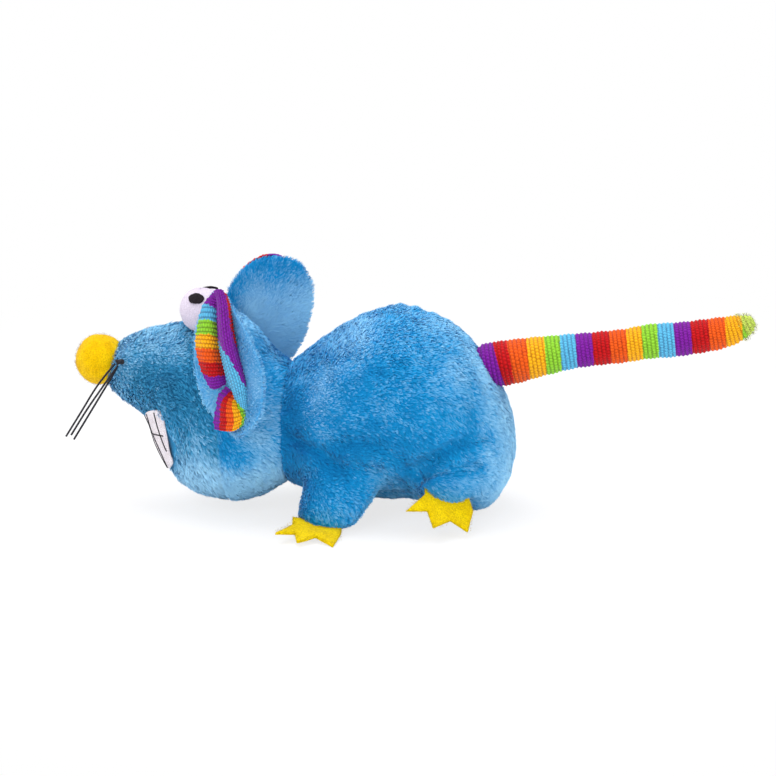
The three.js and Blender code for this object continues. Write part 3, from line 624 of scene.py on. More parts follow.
BODY_ROWS = np.array((
    (0, 0.282, 0.612, 0), (0.012, 0.186, 0.708, 0.567), (0.103, 0.143, 0.754, 0.657),
    (0.16, 0.117, 0.788, 0.76), (0.23, 0.1, 0.843, 0.84), (0.31, 0.092, 0.908, 0.895),
    (0.39, 0.088, 0.962, 0.934), (0.48, 0.089, 1.003, 0.965), (0.585, 0.084, 0.998, 0.99),
    (0.677, 0.056, 0.964, 1), (0.745, 0.021, 0.931, 0.98), (0.803, 0, 0.879, 0.93),
    (0.86, 0, 0.772, 0.85), (0.912, 0.028, 0.671, 0.73), (0.952, 0.076, 0.591, 0.59),
    (0.986, 0.172, 0.461, 0.34), (1, 0.309, 0.309, 0)))
HEAD_ROWS = np.array((
    (0, 0.289, 0.578, 0), (0.014, 0.173, 0.694, 0.667), (0.085, 0.114, 0.756, 0.815),
    (0.135, 0.087, 0.779, 0.852), (0.2, 0.046, 0.832, 0.907), (0.256, 0.023, 0.908, 0.963),
    (0.313, 0.003, 0.971, 1), (0.389, 0, 1, 1), (0.464, 0.017, 0.981, 0.97),
    (0.534, 0.038, 0.954, 0.926), (0.584, 0.061, 0.935, 0.889), (0.648, 0.101, 0.916, 0.833),
    (0.698, 0.179, 0.91, 0.759), (0.741, 0.267, 0.9, 0.689), (0.778, 0.382, 0.89, 0.63),
    (0.812, 0.434, 0.878, 0.57), (0.883, 0.466, 0.85, 0.481), (0.943, 0.512, 0.812, 0.393),
    (0.983, 0.555, 0.76, 0.274), (1, 0.65, 0.65, 0)))
BODY_SIZE = (87.2, 72.7, 33.5)
HEAD_SIZE = (70.2, 69.2, 27.0)
FRONT_LEG = {"rows": np.array((
    (0, 0, 0, 0, 0), (0.025, 0, 0.64, 0, 0.64), (0.1, 0.03, 0.8, 0, 0.9), (0.25, 0.12, 0.94, 0.05, 1),
    (0.46, 0.32, 1.08, 0.2, 1), (0.7, 0.36, 1, 0.5, 0.9), (0.93, 0.35, 0.55, 0.85, 0.55),
    (1, 0.35, 0, 0.9, 0))), "size": (29.5, 14.0, 9.0), "at": (22.0, 25.0, -0.5)}
REAR_LEG = {"rows": np.array((
    (0, 0.2, 0, 0.35, 0), (0.08, 0.12, 0.64, 0.25, 0.6), (0.24, 0, 0.95, 0.1, 0.88),
    (0.48, 0, 1, -0.05, 1), (0.72, 0.05, 0.8, -0.05, 0.85), (0.92, 0.1, 0.4, 0, 0.4),
    (1, 0.1, 0, 0, 0))), "size": (25.0, 11.0, 8.5), "at": (61.5, 25.5, 5.998)}
# How far the body's form is sunk, and where the head's form starts in the head's own axes
BODY_DROP = (0, 0, 0.5)
HEAD_FORM_AT = (6.002, 0, 30.102)


def form_section(rows, size, t):
    length, height, half = size
    profile = catmull(rows[:, :3] * (length, height, height), t)
    breadth = catmull(rows[:, (0, 3)] * (length, half), t)
    return *profile.T, breadth[:, 1]


def form_grid(rows, size, steps, sides):
    x, low, high, wide = (v[:, None] for v in form_section(rows, size, np.linspace(0, 1, steps + 1)[1:-1]))
    a = circle(sides)
    z = (low + high) / 2 + (high - low) / 2 * np.sin(a)
    return np.stack(np.broadcast_arrays(x, wide * np.cos(a), z), -1)


def leg_section(leg, side, t):
    height, long, wide = leg["size"]
    rows, at = leg["rows"], leg["at"]
    y, z = catmull(rows[:, (3, 0)] * (-side * wide, height), t).T
    x, half_long, half_wide = catmull(rows[:, (1, 2, 4)] * (long, long, wide), t).T
    return x + at[0] + BODY_AT[0], y + side * at[1], z + at[2], half_long, half_wide


def leg_grid(leg, side):
    x, y, z, long, wide = (v[:, None] for v in leg_section(leg, side, np.linspace(0, 1, 26)[1:-1]))
    a = circle(36)
    return np.stack(np.broadcast_arrays(x + long * np.cos(a), y + wide * np.sin(a), z), -1)


def leg_field(p, leg, side):
    """Below 1 inside the leg."""
    x, y, z, long, wide = leg_section(leg, side, np.linspace(0, 1, 200))
    order = np.argsort(z)
    cx, cy, lo, wi = (np.interp(p[..., 2], z[order], v[order], left=np.nan, right=np.nan)
                      for v in (x, y, long, wide))
    field = ((p[..., 0] - cx) / np.maximum(lo, 0.5)) ** 2 + ((p[..., 1] - cy) / np.maximum(wi, 0.5)) ** 2
    return np.nan_to_num(field, nan=99.0)


def form_field(p, rows, size):
    """Below 1 inside the form."""
    x, low, high, wide = form_section(rows, size, np.linspace(0, 1, 400))
    lo, hi, wi = (np.interp(p[..., 0], x, v) for v in (low, high, wide))
    field = (p[..., 1] / np.maximum(wi, 0.5)) ** 2
    return field + ((p[..., 2] - (lo + hi) / 2) / np.maximum((hi - lo) / 2, 0.5)) ** 2


def body_form_points(steps, sides):
    return form_grid(BODY_ROWS, BODY_SIZE, steps, sides) + BODY_AT - BODY_DROP


def body_field(p):
    """Below 1 inside the body's form, without the legs."""
    return form_field(p - BODY_AT + BODY_DROP, BODY_ROWS, BODY_SIZE)


def legs_field(p):
    """Below 1 inside any leg."""
    return np.min([leg_field(p, leg, side) for side, _, leg in LEGS], 0)


# In millimetres: how deep the skin lies under the form, for its pile to reach it, the size of its quads,
# how far the coarse bag is drawn in before it is filled, and how far it may swell
SKIN_DEPTH, SKIN_VOXEL, BAG_START, BAG_SWELL = 2.2, 1.15, 2.0, 1.8
LEGS = [(side, f"{name}_{end}_leg", leg) for side, name in SIDES
        for end, leg in (("front", FRONT_LEG), ("rear", REAR_LEG))]
body_shells = [shell(body_form_points(90, 90))] + [shell(leg_grid(leg, side)) for side, _, leg in LEGS]
verts, quads = fuse(body_shells, SKIN_VOXEL)
join_near = hill(legs_field(verts), 1, 0.9) * hill(body_field(verts), 1, 0.25)
verts = relax(verts, quads, 0.12 + 0.5 * join_near, 14)
outer = verts.copy()
normals = vertex_normals(verts, quads)

GUSSET = np.array((
    (0, 0), (0.12, 0.6), (0.35, 0.95), (0.6, 1), (0.85, 0.7), (1, 0), (0.85, -0.7), (0.6, -1),
    (0.35, -0.95), (0.12, -0.6), (0, 0))) * (62.0, 15.0) + (10.987 + BODY_AT[0], 0)


def gusset_inside(p):
    inside = np.zeros(p.shape[:-1], bool)
    x, y = p[..., 0], p[..., 1]
    for (x0, y0), (x1, y1) in zip(GUSSET[:-1], GUSSET[1:]):
        crosses = (y0 > y) != (y1 > y)
        inside ^= crosses & (x < x0 + (x1 - x0) * (y - y0) / np.where(y1 == y0, 1e-9, y1 - y0))
    return inside & (p[..., 2] < 20)


def body_relief(p):
    """How far the body's skin stands out or lies in, in millimetres."""
    x, y, z = p[..., 0], p[..., 1], p[..., 2]
    top = smooth(z, 40, 52)
    out = -1.1 * hill(y, 0, 1.5) * top
    hump = np.exp(-((x + 4) / 16) ** 4) * top
    out += hump * hill(y, 0, 7) * (0.55 * np.sin(2 * math.pi * x / 5.2 + 1.2 * noise(p, 6, 2)) + 0.5)
    out += hump * hill(y, 0, 13) * 0.45 * noise(p * (1.6, 0.5, 0.5), 3.2, 3)
    for line, width, depth in CREASES:
        out -= depth * ridge(p, line, width)
    out -= 0.8 * ridge(p[..., :2], GUSSET, 1.2) * (z < 20)
    out += 0.5 * noise(p, 15, 11) + 0.28 * noise(p, 6.5, 12) + 0.12 * noise(p, 3, 13)
    return out


def on_skin(points):
    """The bag's points that the photograph shows at given places."""
    c, s = math.cos(TILT), math.sin(TILT)
    u, v = U0 + PX_MM * outer[:, 0], V0 - PX_MM * (c * outer[:, 2] + s * outer[:, 1])
    hidden = 99.0 * (normals @ (0, -c, s) < 0.05)
    return [outer[np.argmin(np.hypot(u - a, v - b) + hidden)] for a, b in points]


# Folds of the skin, from places in the photograph, with their width and depth, on both sides
CREASES = []
for pixels, width, depth in (
        (((412, 482), (424, 474), (440, 470), (462, 469), (482, 472)), 1.4, 1.8),
        (((408, 474), (428, 460), (448, 447), (468, 441), (488, 438)), 2.2, 2.0),
        (((292, 440), (306, 449), (320, 456), (338, 468)), 2.2, 1.5),
        (((322, 452), (345, 444), (372, 446), (396, 460)), 2.8, 1.1),
        (((470, 428), (476, 408), (474, 388)), 3.0, 0.8),
        (((347, 536), (362, 518), (378, 500), (396, 484)), 0.9, 1.2)):
    line = np.array(on_skin(pixels))
    CREASES.extend(((line, width, depth), (line * (1, -1, 1), width, depth)))


def body_seams(p):
    """Where the bag is sewn: along the back, round the gusset, at the legs and at the neck."""
    return np.max((
        hill(p[:, 1], 0, 1.8) * smooth(p[:, 2], 30, 45),
        ridge(p[:, :2], GUSSET, 1.8) * (p[:, 2] < 22),
        hill(legs_field(p), 1.3, 0.7) * hill(body_field(p), 1, 0.2),
        1 - smooth(world_to_head(p)[:, 0], 0, 5),
        1 - smooth(p[:, 2], 2, 7)), 0)


places, moved = inflate(body_shells, BAG_START, body_seams, BAG_SWELL)
verts = verts + normals * (body_relief(outer) - SKIN_DEPTH)[:, None] + carried(outer, places, moved)
verts[:, 2] = np.maximum(verts[:, 2], 0.5)
normals = vertex_normals(verts, quads)
centres = outer[quads].mean(1)
ahead = world_to_head(centres)[:, 0] < -1.6
leg_of = np.full(len(quads), -1)
outside = body_field(centres) > 1.02
for number, (side, _, leg) in enumerate(LEGS):
    leg_of[outside & (leg_field(centres, leg, side) < 1.5) & (centres[:, 1] * side > 0)] = number
in_gusset = gusset_inside(centres) & (leg_of < 0)


def body_flow(p):
    """The nap runs back and down, and straight down on the legs and the rump's end."""
    x, z = p[..., 0], p[..., 2]
    down = -0.25 - 0.5 * smooth(x, 5, 34) - 0.8 * smooth(-z, -18, -4) - 0.25 * noise(p, 14, 21)
    return np.stack((1 + 0 * x, 0.2 * noise(p, 10, 22), down), -1)


def body_painted_light_and_tone(p):
    """Painted highlights on the back's top, the rump's end, the underside, over the shoulder and on the flank;
    painted shade along the neck, on the hump's top and in the creases; and random tone.
    """
    x, z = p[..., 0], p[..., 2]
    side_view = p[..., (0, 2)]
    pale = 0.34 * smooth(x, 12, 33) + 0.22 * smooth(z, 54, 70) + 0.1 * smooth(-z, -22, -6)
    pale = pale + 0.16 * ridge(side_view, ((-37, 42), (-30, 55), (-18, 64)), 5)
    pale = pale + 0.18 * hill(x, 15, 8) * hill(z, 50, 12)
    dark = 0.2 * ridge(side_view, ((-42, 10), (-41, 30), (-39, 42)), 5)
    dark = dark + 0.16 * hill(x, -5, 10) * hill(z, 64, 8)
    # Painted shade in the folds of the skin.
    for line, width, depth in CREASES:
        dark = dark + 0.16 * depth * ridge(p, line, 1.5 * width)
    return pale - dark + 0.1 * noise(p, 11, 23) + 0.06 * noise(p, 4.5, 24)


# Pile on the bags: strands to a square millimetre, their length and width, and the ground's tone and thickness
NAP, GROUND_TONE, GROUND_DEPTH = (8.5, 1.75, 0.26), 0.36, 1.0


def cover(name, keep, body, material, node_name, flow, tone, cut=None, nap=NAP, mixed=0.055):
    """A fabric skin with its pile, in place of one solid."""
    v, q, used = patch(verts, quads, keep)
    # The ground's tip of 0 gives it the roots' painted shade, and its tone carries the painted light and shade.
    floats = {"tip": np.zeros(len(v)), "tone": np.clip(GROUND_TONE + tone(v), 0, 1)}
    skin = make_mesh(name + "_cloth", v, (q,), floats)
    solid = skin.modifiers.new("thickness", "SOLIDIFY")
    solid.thickness = GROUND_DEPTH * MM
    solid.offset = -1
    place(skin, material, body, node_name)
    hair = pile(name + "_pile", v, q, normals[used], flow, *nap, tone, cut, mixed)
    place(hair, material, body, node_name)


def past_neck(p):
    return world_to_head(p)[..., 0] < 0.3


on_sides = (leg_of < 0) & ~in_gusset & ~ahead
for side, name in SIDES:
    half = (centres[:, 1] < 0) == (side < 0)
    cover(f"{name}_side", half & on_sides, "body", PLUSH, f"{name}_side_cover", body_flow, body_painted_light_and_tone, past_neck)
cover("belly", in_gusset, "body", PLUSH, "belly_gusset", body_flow, body_painted_light_and_tone)
for number, (_, name, _) in enumerate(LEGS):
    cover(name, leg_of == number, "body", PLUSH, name, body_flow, body_painted_light_and_tone)


# Head

def form_to_head(p):
    """From the head form's own axes, which start at the neck's back, to the head's."""
    return (p - np.array(HEAD_FORM_AT)) * (-1, 1, 1)


head_form = form_grid(HEAD_ROWS, HEAD_SIZE, 110, 90)
verts, quads = fuse([shell(head_form)], SKIN_VOXEL)
verts = form_to_head(verts)
if inside_out(verts, quads, verts - verts.mean(0)):
    quads = quads[:, ::-1]
verts = relax(verts, quads, 0.15, 8)
outer = verts.copy()
normals = vertex_normals(verts, quads)

SMILE = ((5, -18.1), (12, -16.8), (18.2, -13), (20.2, -8.5), (21.5, -4), (22.0, 0), (22.0, 4.4), (20.8, 7.2),
         (17.5, 5.6), (12.6, 2.8), (6, 1.2))
MOUTH = np.array([(0, -18.1), *SMILE, (0, 0.8), *((-y, z) for y, z in SMILE[::-1])])
# The middle one of three rounds, so that the line closes smoothly
mouth_line = catmull(np.vstack((MOUTH, MOUTH, MOUTH, MOUTH[:1])), np.linspace(1 / 3, 2 / 3, 96, endpoint=False))
mouth_middle = mouth_line.mean(0)
mouth_rim = mouth_line - mouth_middle


def mouth_share(p):
    """0 in the middle of the mouth, 1 on its outline, for points of the head's front."""
    d = p[..., (1, 2)] - mouth_middle
    angle = np.arctan2(d[..., 1], d[..., 0])
    rim_angle = np.arctan2(mouth_rim[:, 1], mouth_rim[:, 0])
    order = np.argsort(rim_angle)
    reach = np.interp(angle, rim_angle[order], np.linalg.norm(mouth_rim, axis=1)[order], period=2 * math.pi)
    share = np.linalg.norm(d, axis=-1) / reach
    return np.where(p[..., 0] < -35, share, 9.0)


# Each eye's middle, and the way its pupil looks, in the head's own axes
EYES = (
    ("left", np.array((-29.4, -6.992, 40.292)), np.array((-0.07, -0.72, 0.68))),
    ("right", np.array((-29.4, 8.816, 35.661)), np.array((-0.1, 0.42, 0.9))),
)
EYE_RADIUS = 7.6
EAR_SEAM_X = -21.3
CHEEK_FOLD = np.array(((-40, 20, -8), (-34, 24, 4), (-30, 25, 14)))


def head_relief(p):
    """How far the head's skin stands out or lies in, in millimetres."""
    out = -1.0 * hill(p[..., 0], EAR_SEAM_X, 1.2)
    out -= 1.2 * (1 - smooth(mouth_share(p), 0.88, 0.97))
    for side, _ in SIDES:
        out -= 0.6 * ridge(p, CHEEK_FOLD * (1, side, 1), 4)
    out += 0.55 * noise(p, 13, 31) + 0.3 * noise(p, 6, 32) + 0.14 * noise(p, 3, 33)
    return out


def head_seams(p):
    """Where the head's bag is sewn: at the ear seam, round the mouth and at the neck."""
    x = p[:, 0]
    return np.max((hill(x, EAR_SEAM_X, 1.8), hill(mouth_share(p), 1, 0.12), smooth(x, -5, 0)), 0)


places, moved = inflate([shell(form_to_head(head_form))], BAG_START, head_seams, BAG_SWELL)
verts = verts + normals * (head_relief(outer) - SKIN_DEPTH)[:, None] + carried(outer, places, moved)
normals = vertex_normals(verts, quads)
centres = outer[quads].mean(1)
verts, normals = head_to_world(verts), head_to_world(normals) - NECK_AT


def head_flow(p):
    """The nap runs from the nose back over the head, and down on the cheeks."""
    q = world_to_head(p)
    down = -0.35 - 0.5 * smooth(-q[..., 2], -6, 16) + 0.3 * noise(p, 12, 41)
    local = np.stack((1 + 0 * down, 0.4 * noise(p, 9, 42), down), -1)
    return head_to_world(local) - NECK_AT


def face_cut(p):
    q = world_to_head(p)
    cut = mouth_share(q) < 0.9
    for _, at, _ in EYES:
        cut |= np.linalg.norm(q - at, axis=-1) < EYE_RADIUS
    return cut


def head_painted_light_and_tone(p):
    """Painted highlights on the chin, the cheek, the forehead and beside the neck, painted shade on the muzzle and
    the temple, and random tone.
    """
    q = world_to_head(p)
    x, z = q[..., 0], q[..., 2]
    pale = 0.72 * smooth(-z, 5, 23) * smooth(x, -46, -30) + 0.2 * smooth(z, 24, 36) * smooth(x, -44, -24)
    pale = pale + 0.3 * smooth(z, 17, 28) * smooth(-x, 30, 40) + 0.1 * smooth(-x, 50, 58)
    pale = pale + 0.22 * hill(x, -28, 6) * smooth(-z, -12, 6) + 0.26 * hill(x, -6, 8) * hill(z, -3, 13)
    dark = 0.1 * hill(x, -46, 9) + 0.2 * hill(x, -33, 7) * hill(z, 18, 9)
    return pale - dark + 0.1 * noise(p, 10, 43) + 0.07 * noise(p, 4, 44)


def past_head(p):
    return world_to_head(p)[..., 0] > -0.3


in_front = centres[:, 0] < EAR_SEAM_X
cover("face", in_front, "head", FACE, "face_cover", head_flow, head_painted_light_and_tone, face_cut, (7.0, 2.3, 0.28), 0.075)
cover("head_back", ~in_front & (centres[:, 0] <= 1.6), "head", PLUSH, "head_back_cover", head_flow, head_painted_light_and_tone,
      past_head)


# Teeth panel: white cloth laid in the mouth, with lines of dark thread

def front_of_head(yz):
    """The head's foremost surface at each y, z of the head's own axes."""
    d = np.arange(36, 64, 0.05)
    x, _, z = HEAD_FORM_AT
    probe = np.stack(np.broadcast_arrays(d + x, yz[..., :1], yz[..., 1:] + z), -1)
    inside = form_field(probe, HEAD_ROWS, HEAD_SIZE) < 1
    last = inside.shape[-1] - 1 - np.argmax(inside[..., ::-1], -1)
    return -np.where(inside.any(-1), d[last], 40.0)


def under_front(yz, depth):
    """Points that lie some depth below the head's front at each y, z."""
    x, step = front_of_head(yz), 0.6
    slope_y = (front_of_head(yz + (step, 0)) - front_of_head(yz - (step, 0))) / (2 * step)
    slope_z = (front_of_head(yz + (0, step)) - front_of_head(yz - (0, step))) / (2 * step)
    out = unit(np.stack((-1 + 0 * x, slope_y, slope_z), -1))
    return np.stack((x, yz[..., 0], yz[..., 1]), -1) - out * np.asarray(depth)[..., None]


reach = np.concatenate((np.linspace(0.03, 0.96, 24), (0.99, 1.0, 0.985), np.linspace(0.95, 0.03, 8)))
depth = np.concatenate((np.full(24, 0.8), (1.0, 1.3, 1.6), np.full(8, 1.8)))
yz = mouth_middle + reach[:, None, None] * mouth_rim
points = head_to_world(under_front(yz, depth[:, None] + 0 * yz[..., 0]))
panel = place(closed_mesh("teeth_panel_cloth", points), PANEL, "head", "teeth_panel")
teeth_lines = [((y, 9), (y * 1.01, -1), (y * 1.0, -9), (y * 0.84, -18))
               for y in (-19.6, -15.0, -10.0, -5.2, 0.2, 5.0, 10.2, 14.8, 19.5)]
teeth_lines.append(((-22.5, -1.6), (-14, -3.2), (0, -4.6), (14, -3.1), (22.5, -1.8)))
for number, line in enumerate(teeth_lines, 1):
    yz = catmull(line, np.linspace(0, 1, 90))
    yz = yz[mouth_share(np.insert(yz, 0, -50, 1)) < 0.97]
    points = under_front(yz, np.full(len(yz), 0.72))
    place(strand(f"teeth_line_{number}", head_to_world(points), 0.22), THREAD, "head")


# Knitting: a surface with loops in courses and wales

RAINBOW = np.array([rgb(130, 22, 160), rgb(200, 4, 10), rgb(242, 92, 8), rgb(255, 182, 10), rgb(146, 214, 50),
                    rgb(92, 188, 226)])
GATHER_GREEN = np.array(rgb(222, 240, 112))
# A loop's height, the distance of the courses, and the loops round the tail
LOOP_DEPTH, COURSE, TAIL_WALES = 0.4, 1.42, 36


def knit(name, points, normals, course, wale, band, wrap=False, tint=0.0):
    """points[i, j] with loops raised along the normals. course and wale count the loops each way, band
    counts the stripes, and tint is the share of green at the tail's gathered tip."""
    shift = 0.5 * (np.floor(course + 0.5) % 2)
    lift = 0.5 + 0.5 * np.cos(2 * math.pi * course)
    loops = 0.5 + 0.5 * np.cos(2 * math.pi * (wale + shift))
    relief = lift * (0.16 + 0.84 * loops) + 0.1 * noise(points, 0.8, 51)
    out = points + normals * (LOOP_DEPTH * (relief - 0.6))[..., None]
    # Painted shade: the tone is lower where the loops sink between courses and wales.
    tone = np.clip(0.2 + 1.15 * relief, 0, 1)
    colours = RAINBOW[np.floor(band + 0.1 * noise(points, 0.7, 52)).astype(int) % len(RAINBOW)]
    colours = colours + (GATHER_GREEN - colours) * np.asarray(tint)[..., None]
    faces = grid_faces(*points.shape[:2], wrap)
    if inside_out(out.reshape(-1, 3), faces, normals.reshape(-1, 3)):
        faces = faces[:, ::-1]
    return make_mesh(name, out, (faces,), {"tone": tone}, colours.reshape(-1, 4))


# Tail: a stuffed sleeve of ribbed knit, red at its base and green at its gathered tip

# Shares of the tail's length, of its rise and of its radius
TAIL_ROWS = np.array((
    (0, 0, 1), (0.09, 0.11, 0.97), (0.22, 0.24, 0.84), (0.3, 0.31, 0.78), (0.45, 0.43, 0.77),
    (0.6, 0.56, 0.79), (0.75, 0.66, 0.74), (0.88, 0.8, 0.69), (0.94, 0.91, 0.58),
    (0.975, 1.02, 0.42), (0.99, 1.08, 0.25), (0.995, 1.1, 0)))
TAIL_SIZE = (87.2, 14.0, 7.8)
STRIPE_ENDS = (33.2, 39.1, 45.0, 50.3, 55.6, 61.3, 67.2, 73.0, 78.2, 83.7, 89.3, 95.1, 101.2, 106.8, 112.5)


def tail_frame(t):
    """The tail's middle line, the way up from it and its radius, at shares of its length."""
    along, rise, radius = (TAIL_ROWS * TAIL_SIZE).T
    line = catmull(np.stack((along, 0 * along, rise), -1), t)
    wide = catmull(np.stack((along, radius), -1), t)[:, 1]
    ahead = unit(np.gradient(line, axis=0))
    up = np.stack((-ahead[:, 2], 0 * ahead[:, 0], ahead[:, 0]), -1)
    return line, up, wide


def run_along(line):
    """How far each point of a line is from its start, along the line."""
    return np.concatenate(([0], np.cumsum(np.linalg.norm(np.diff(line, axis=0), axis=1))))


def ring_grid(line, up, radius, sides):
    """Points and normals of rings round a line."""
    a = circle(sides)[None, :, None]
    across = np.array((0.0, 1.0, 0.0))
    normals = np.cos(a) * across + np.sin(a) * up[:, None, :]
    return line[:, None, :] + normals * np.asarray(radius)[:, None, None], normals


# Rings along the sleeve and points round it, as many as the export takes without thinning them
steps, sides = 410, 240
shares = np.linspace(0, 1, steps)
run = run_along(tail_frame(shares)[0])
line, up, wide = tail_frame(np.interp(np.linspace(0, run[-1] * 0.998, steps), run, shares))
run = run_along(line)
radius = np.append(np.maximum(wide[:-1] - 0.15, 0.5), 0.32)
points, outward = ring_grid(line + TAIL_AT, up, radius, sides)
x = points[..., 0]
fanned = x + (0.08 + 0.22 * np.exp((30 - x) / 4)) * (points[..., 2] - (line + TAIL_AT)[:, None, 2])
band = 1.5 + np.searchsorted(np.array(STRIPE_ENDS), fanned.ravel()).reshape(x.shape)
stripe_wave = np.cos(2 * math.pi * (fanned - 33.2) / 5.67)
points = points + outward * (0.35 * noise(points, 9, 61) - 0.1 * stripe_wave)[..., None]
wales, course = np.meshgrid(np.arange(sides) * (TAIL_WALES / sides), run / COURSE)
tint = np.broadcast_to(0.75 * smooth(run, run[-1] - 4.2, run[-1] - 3.2)[:, None], wales.shape)
tail = knit("tail_sleeve_knit", points, outward, course, wales, band, True, tint)
place(tail, KNIT, "tail", "tail_sleeve")

# The purple end goes into the rump and turns with the root. Its round front fills the sleeve's mouth at every lift.
back = np.concatenate((np.linspace(-8.5, 1.2, 60), np.linspace(1.35, 7.2, 44)))
slope = np.array((0.985, 0, 0.17))
root_line = TAIL_AT + back[:, None] * slope
root_up = np.broadcast_to(np.array((-slope[2], 0, slope[0])), root_line.shape)
radius = np.where(back < 1.3, 7.75 - 1.6 * smooth(-back, 5.0, 8.5), np.sqrt(np.maximum(7.3 ** 2 - back ** 2, 0.2)))
points, outward = ring_grid(root_line, root_up, radius, sides)
wales, course = np.meshgrid(np.arange(sides) * (TAIL_WALES / sides), back / COURSE)
band = np.where(points[..., 0] + 0.3 * (points[..., 2] - TAIL_AT[2]) < TAIL_AT[0] - 0.9, 0.5, 1.5)
root = knit("tail_root_knit", points, outward, course, wales, band, True)
place(root, KNIT, "tail_root", "tail_root", slot="knit_purple")


def tuft(name, roots, normals, count, length, width, colours, material, body, curl=0.5):
    """Loose fibres that stand out from given roots."""
    pick = rng.integers(0, len(roots), count)
    root, up = roots[pick] + 0.25 * rng.standard_normal((count, 3)), normals[pick]
    lean = unit(up + curl * rng.standard_normal((count, 3)))
    tip = root + lean * (length * (0.5 + rng.random(count)))[:, None]
    bend = unit(np.cross(lean, rng.standard_normal((count, 3))))
    mid = root + 0.5 * (tip - root) + bend * 0.22 * length
    across = unit(np.cross(lean, bend)) * width / 2
    points = np.stack((root - across, root + across, mid - across, mid + across, tip), 1)
    points[..., 2] = np.maximum(points[..., 2], 0.1)
    tone = np.repeat(0.85 + 0.15 * rng.random(count), 5)
    colours = None if colours is None else np.repeat(colours[pick], 5, 0)
    shading = np.repeat(unit(up + 0.4 * lean), 5, 0)
    place(make_mesh(name, points, strand_faces(count), {"tone": tone}, colours, normals=shading), material, body)


tip_points, tip_normals = ring_grid((line + TAIL_AT)[-26:], up[-26:], np.maximum(wide[-26:], 0.8), 40)
green = np.repeat(np.array(rgb(250, 255, 120))[None], tip_points.shape[0] * 40, 0)
tuft("tail_tip_fuzz", tip_points.reshape(-1, 3), unit(tip_normals.reshape(-1, 3) + (0.5, 0, 0.2)), 800, 0.7, 0.1,
     green, KNIT, "tail")


# Pompom and eyes

def ball(centre, radius, rows, cols):
    """Grid points and normals of a ball whose poles are at its top and bottom."""
    phi = np.linspace(0.02, math.pi - 0.02, rows)[:, None]
    a = circle(cols)
    n = np.stack((np.sin(phi) * np.cos(a), np.sin(phi) * np.sin(a), np.cos(phi) + 0 * a), -1)
    return centre + radius * n, n


centre, radius, count = head_to_world(np.array((-66.498, 0, 18.684))), 8.75, 5200
points, outward = ball(centre, radius, 90, 160)
points = points + outward * (0.28 * noise(points, 6, 71) + 0.14 * noise(points, 1.6, 72))[..., None]
pompom = place(closed_mesh("nose_pompom_felt", points), WOOL, "head", "nose_pompom")
spread = unit(rng.standard_normal((count, 3)))
tuft("nose_pompom_fuzz", centre + radius * spread, spread, count, 0.4, 0.05, None, WOOL, "head", 0.9)

for name, at, look in EYES:
    points, outward = ball(at, EYE_RADIUS, 110, 312)
    angle = np.arctan2(outward[..., 1], outward[..., 0])
    ribs = 0.5 + 0.5 * np.cos(angle * 52)
    courses = 0.5 + 0.5 * np.cos(2 * math.pi * points[..., 2] / 0.8)
    swell = 0.35 * noise(points, 8, 81) + 0.1 * noise(points, 2.2, 82)
    points = points + outward * (swell + 0.08 * ribs + 0.03 * courses - 0.2)[..., None]
    # Painted shade: the white knit's tone is lower between its ribs and courses.
    tone = np.append((0.72 + 0.28 * ribs * (0.6 + 0.4 * courses)).ravel(), (0.8, 0.8))
    white = np.tile(np.array(rgb(216, 206, 220)), (len(tone), 1))
    eye = closed_mesh(f"{name}_eye_knit", head_to_world(points), {"tone": tone}, white)
    place(eye, WHITE_KNIT, "head", f"{name}_eye")
    look = unit(look)
    across = unit(np.cross(look, (0, 0, 1)))
    rise = np.cross(across, look)
    r = np.concatenate((np.linspace(0.04, 0.9, 14), (0.96, 1.0, 1.0, 0.97)))
    out = np.concatenate((np.full(14, 0.75), (0.68, 0.5, 0.1, -0.3)))
    a = circle(64)
    reach = r[:, None] * (1 + 0.035 * np.sin(5 * a) + 0.02 * np.sin(11 * a))[None]
    flat = (reach * np.cos(a))[..., None] * across * 2.8 + (reach * np.sin(a))[..., None] * rise * 1.95
    points = at + unit(flat + look * EYE_RADIUS) * (EYE_RADIUS + out)[..., None, None]
    points = points + look * (0.1 * noise(points, 0.9, 83))[..., None]
    place(closed_mesh(f"{name}_pupil_felt", head_to_world(points)), PUPIL, "head", f"{name}_pupil")


# Felt feet: flat crowns with three toes, whose outlines are shares of 17 by 12.6 mm

CROWNS = {
    "front": ((-0.5, 0), (-0.85, 0.7), (-0.44, 0.52), (-0.4, 1.03), (-0.02, 0.58), (0.33, 1.03), (0.5, 0.1)),
    "rear": ((-0.5, 0), (-0.96, 0.74), (-0.45, 0.52), (-0.34, 1.05), (0.09, 0.62), (0.48, 0.83), (0.61, 0.13)),
}
# Where each end's feet sit, and their roll and pitch in degrees
FEET = {"front": ((18.70, 32.00, 3.151), 10, 9), "rear": ((62.998, 28.50, 11.898), 42, 30)}


def crown_outline(end):
    """The foot's outline in its own plane, with corners a pair of scissors leaves."""
    corners = np.array([(a * 17, b * 12.6) for a, b in CROWNS[end]] + [(8.5, -5), (-8.5, -5)])
    line = []
    for i, corner in enumerate(corners):
        before, after = corners[i - 1], corners[(i + 1) % len(corners)]
        for to in (before, after):
            step = to - corner
            line.append(corner + step / np.linalg.norm(step) * 0.35)
    dense = []
    for a, b in zip(line, line[1:] + line[:1]):
        count = max(int(np.linalg.norm(b - a) / 0.7), 1)
        dense.extend(a + (b - a) * i / count for i in range(count))
    return np.array(dense)


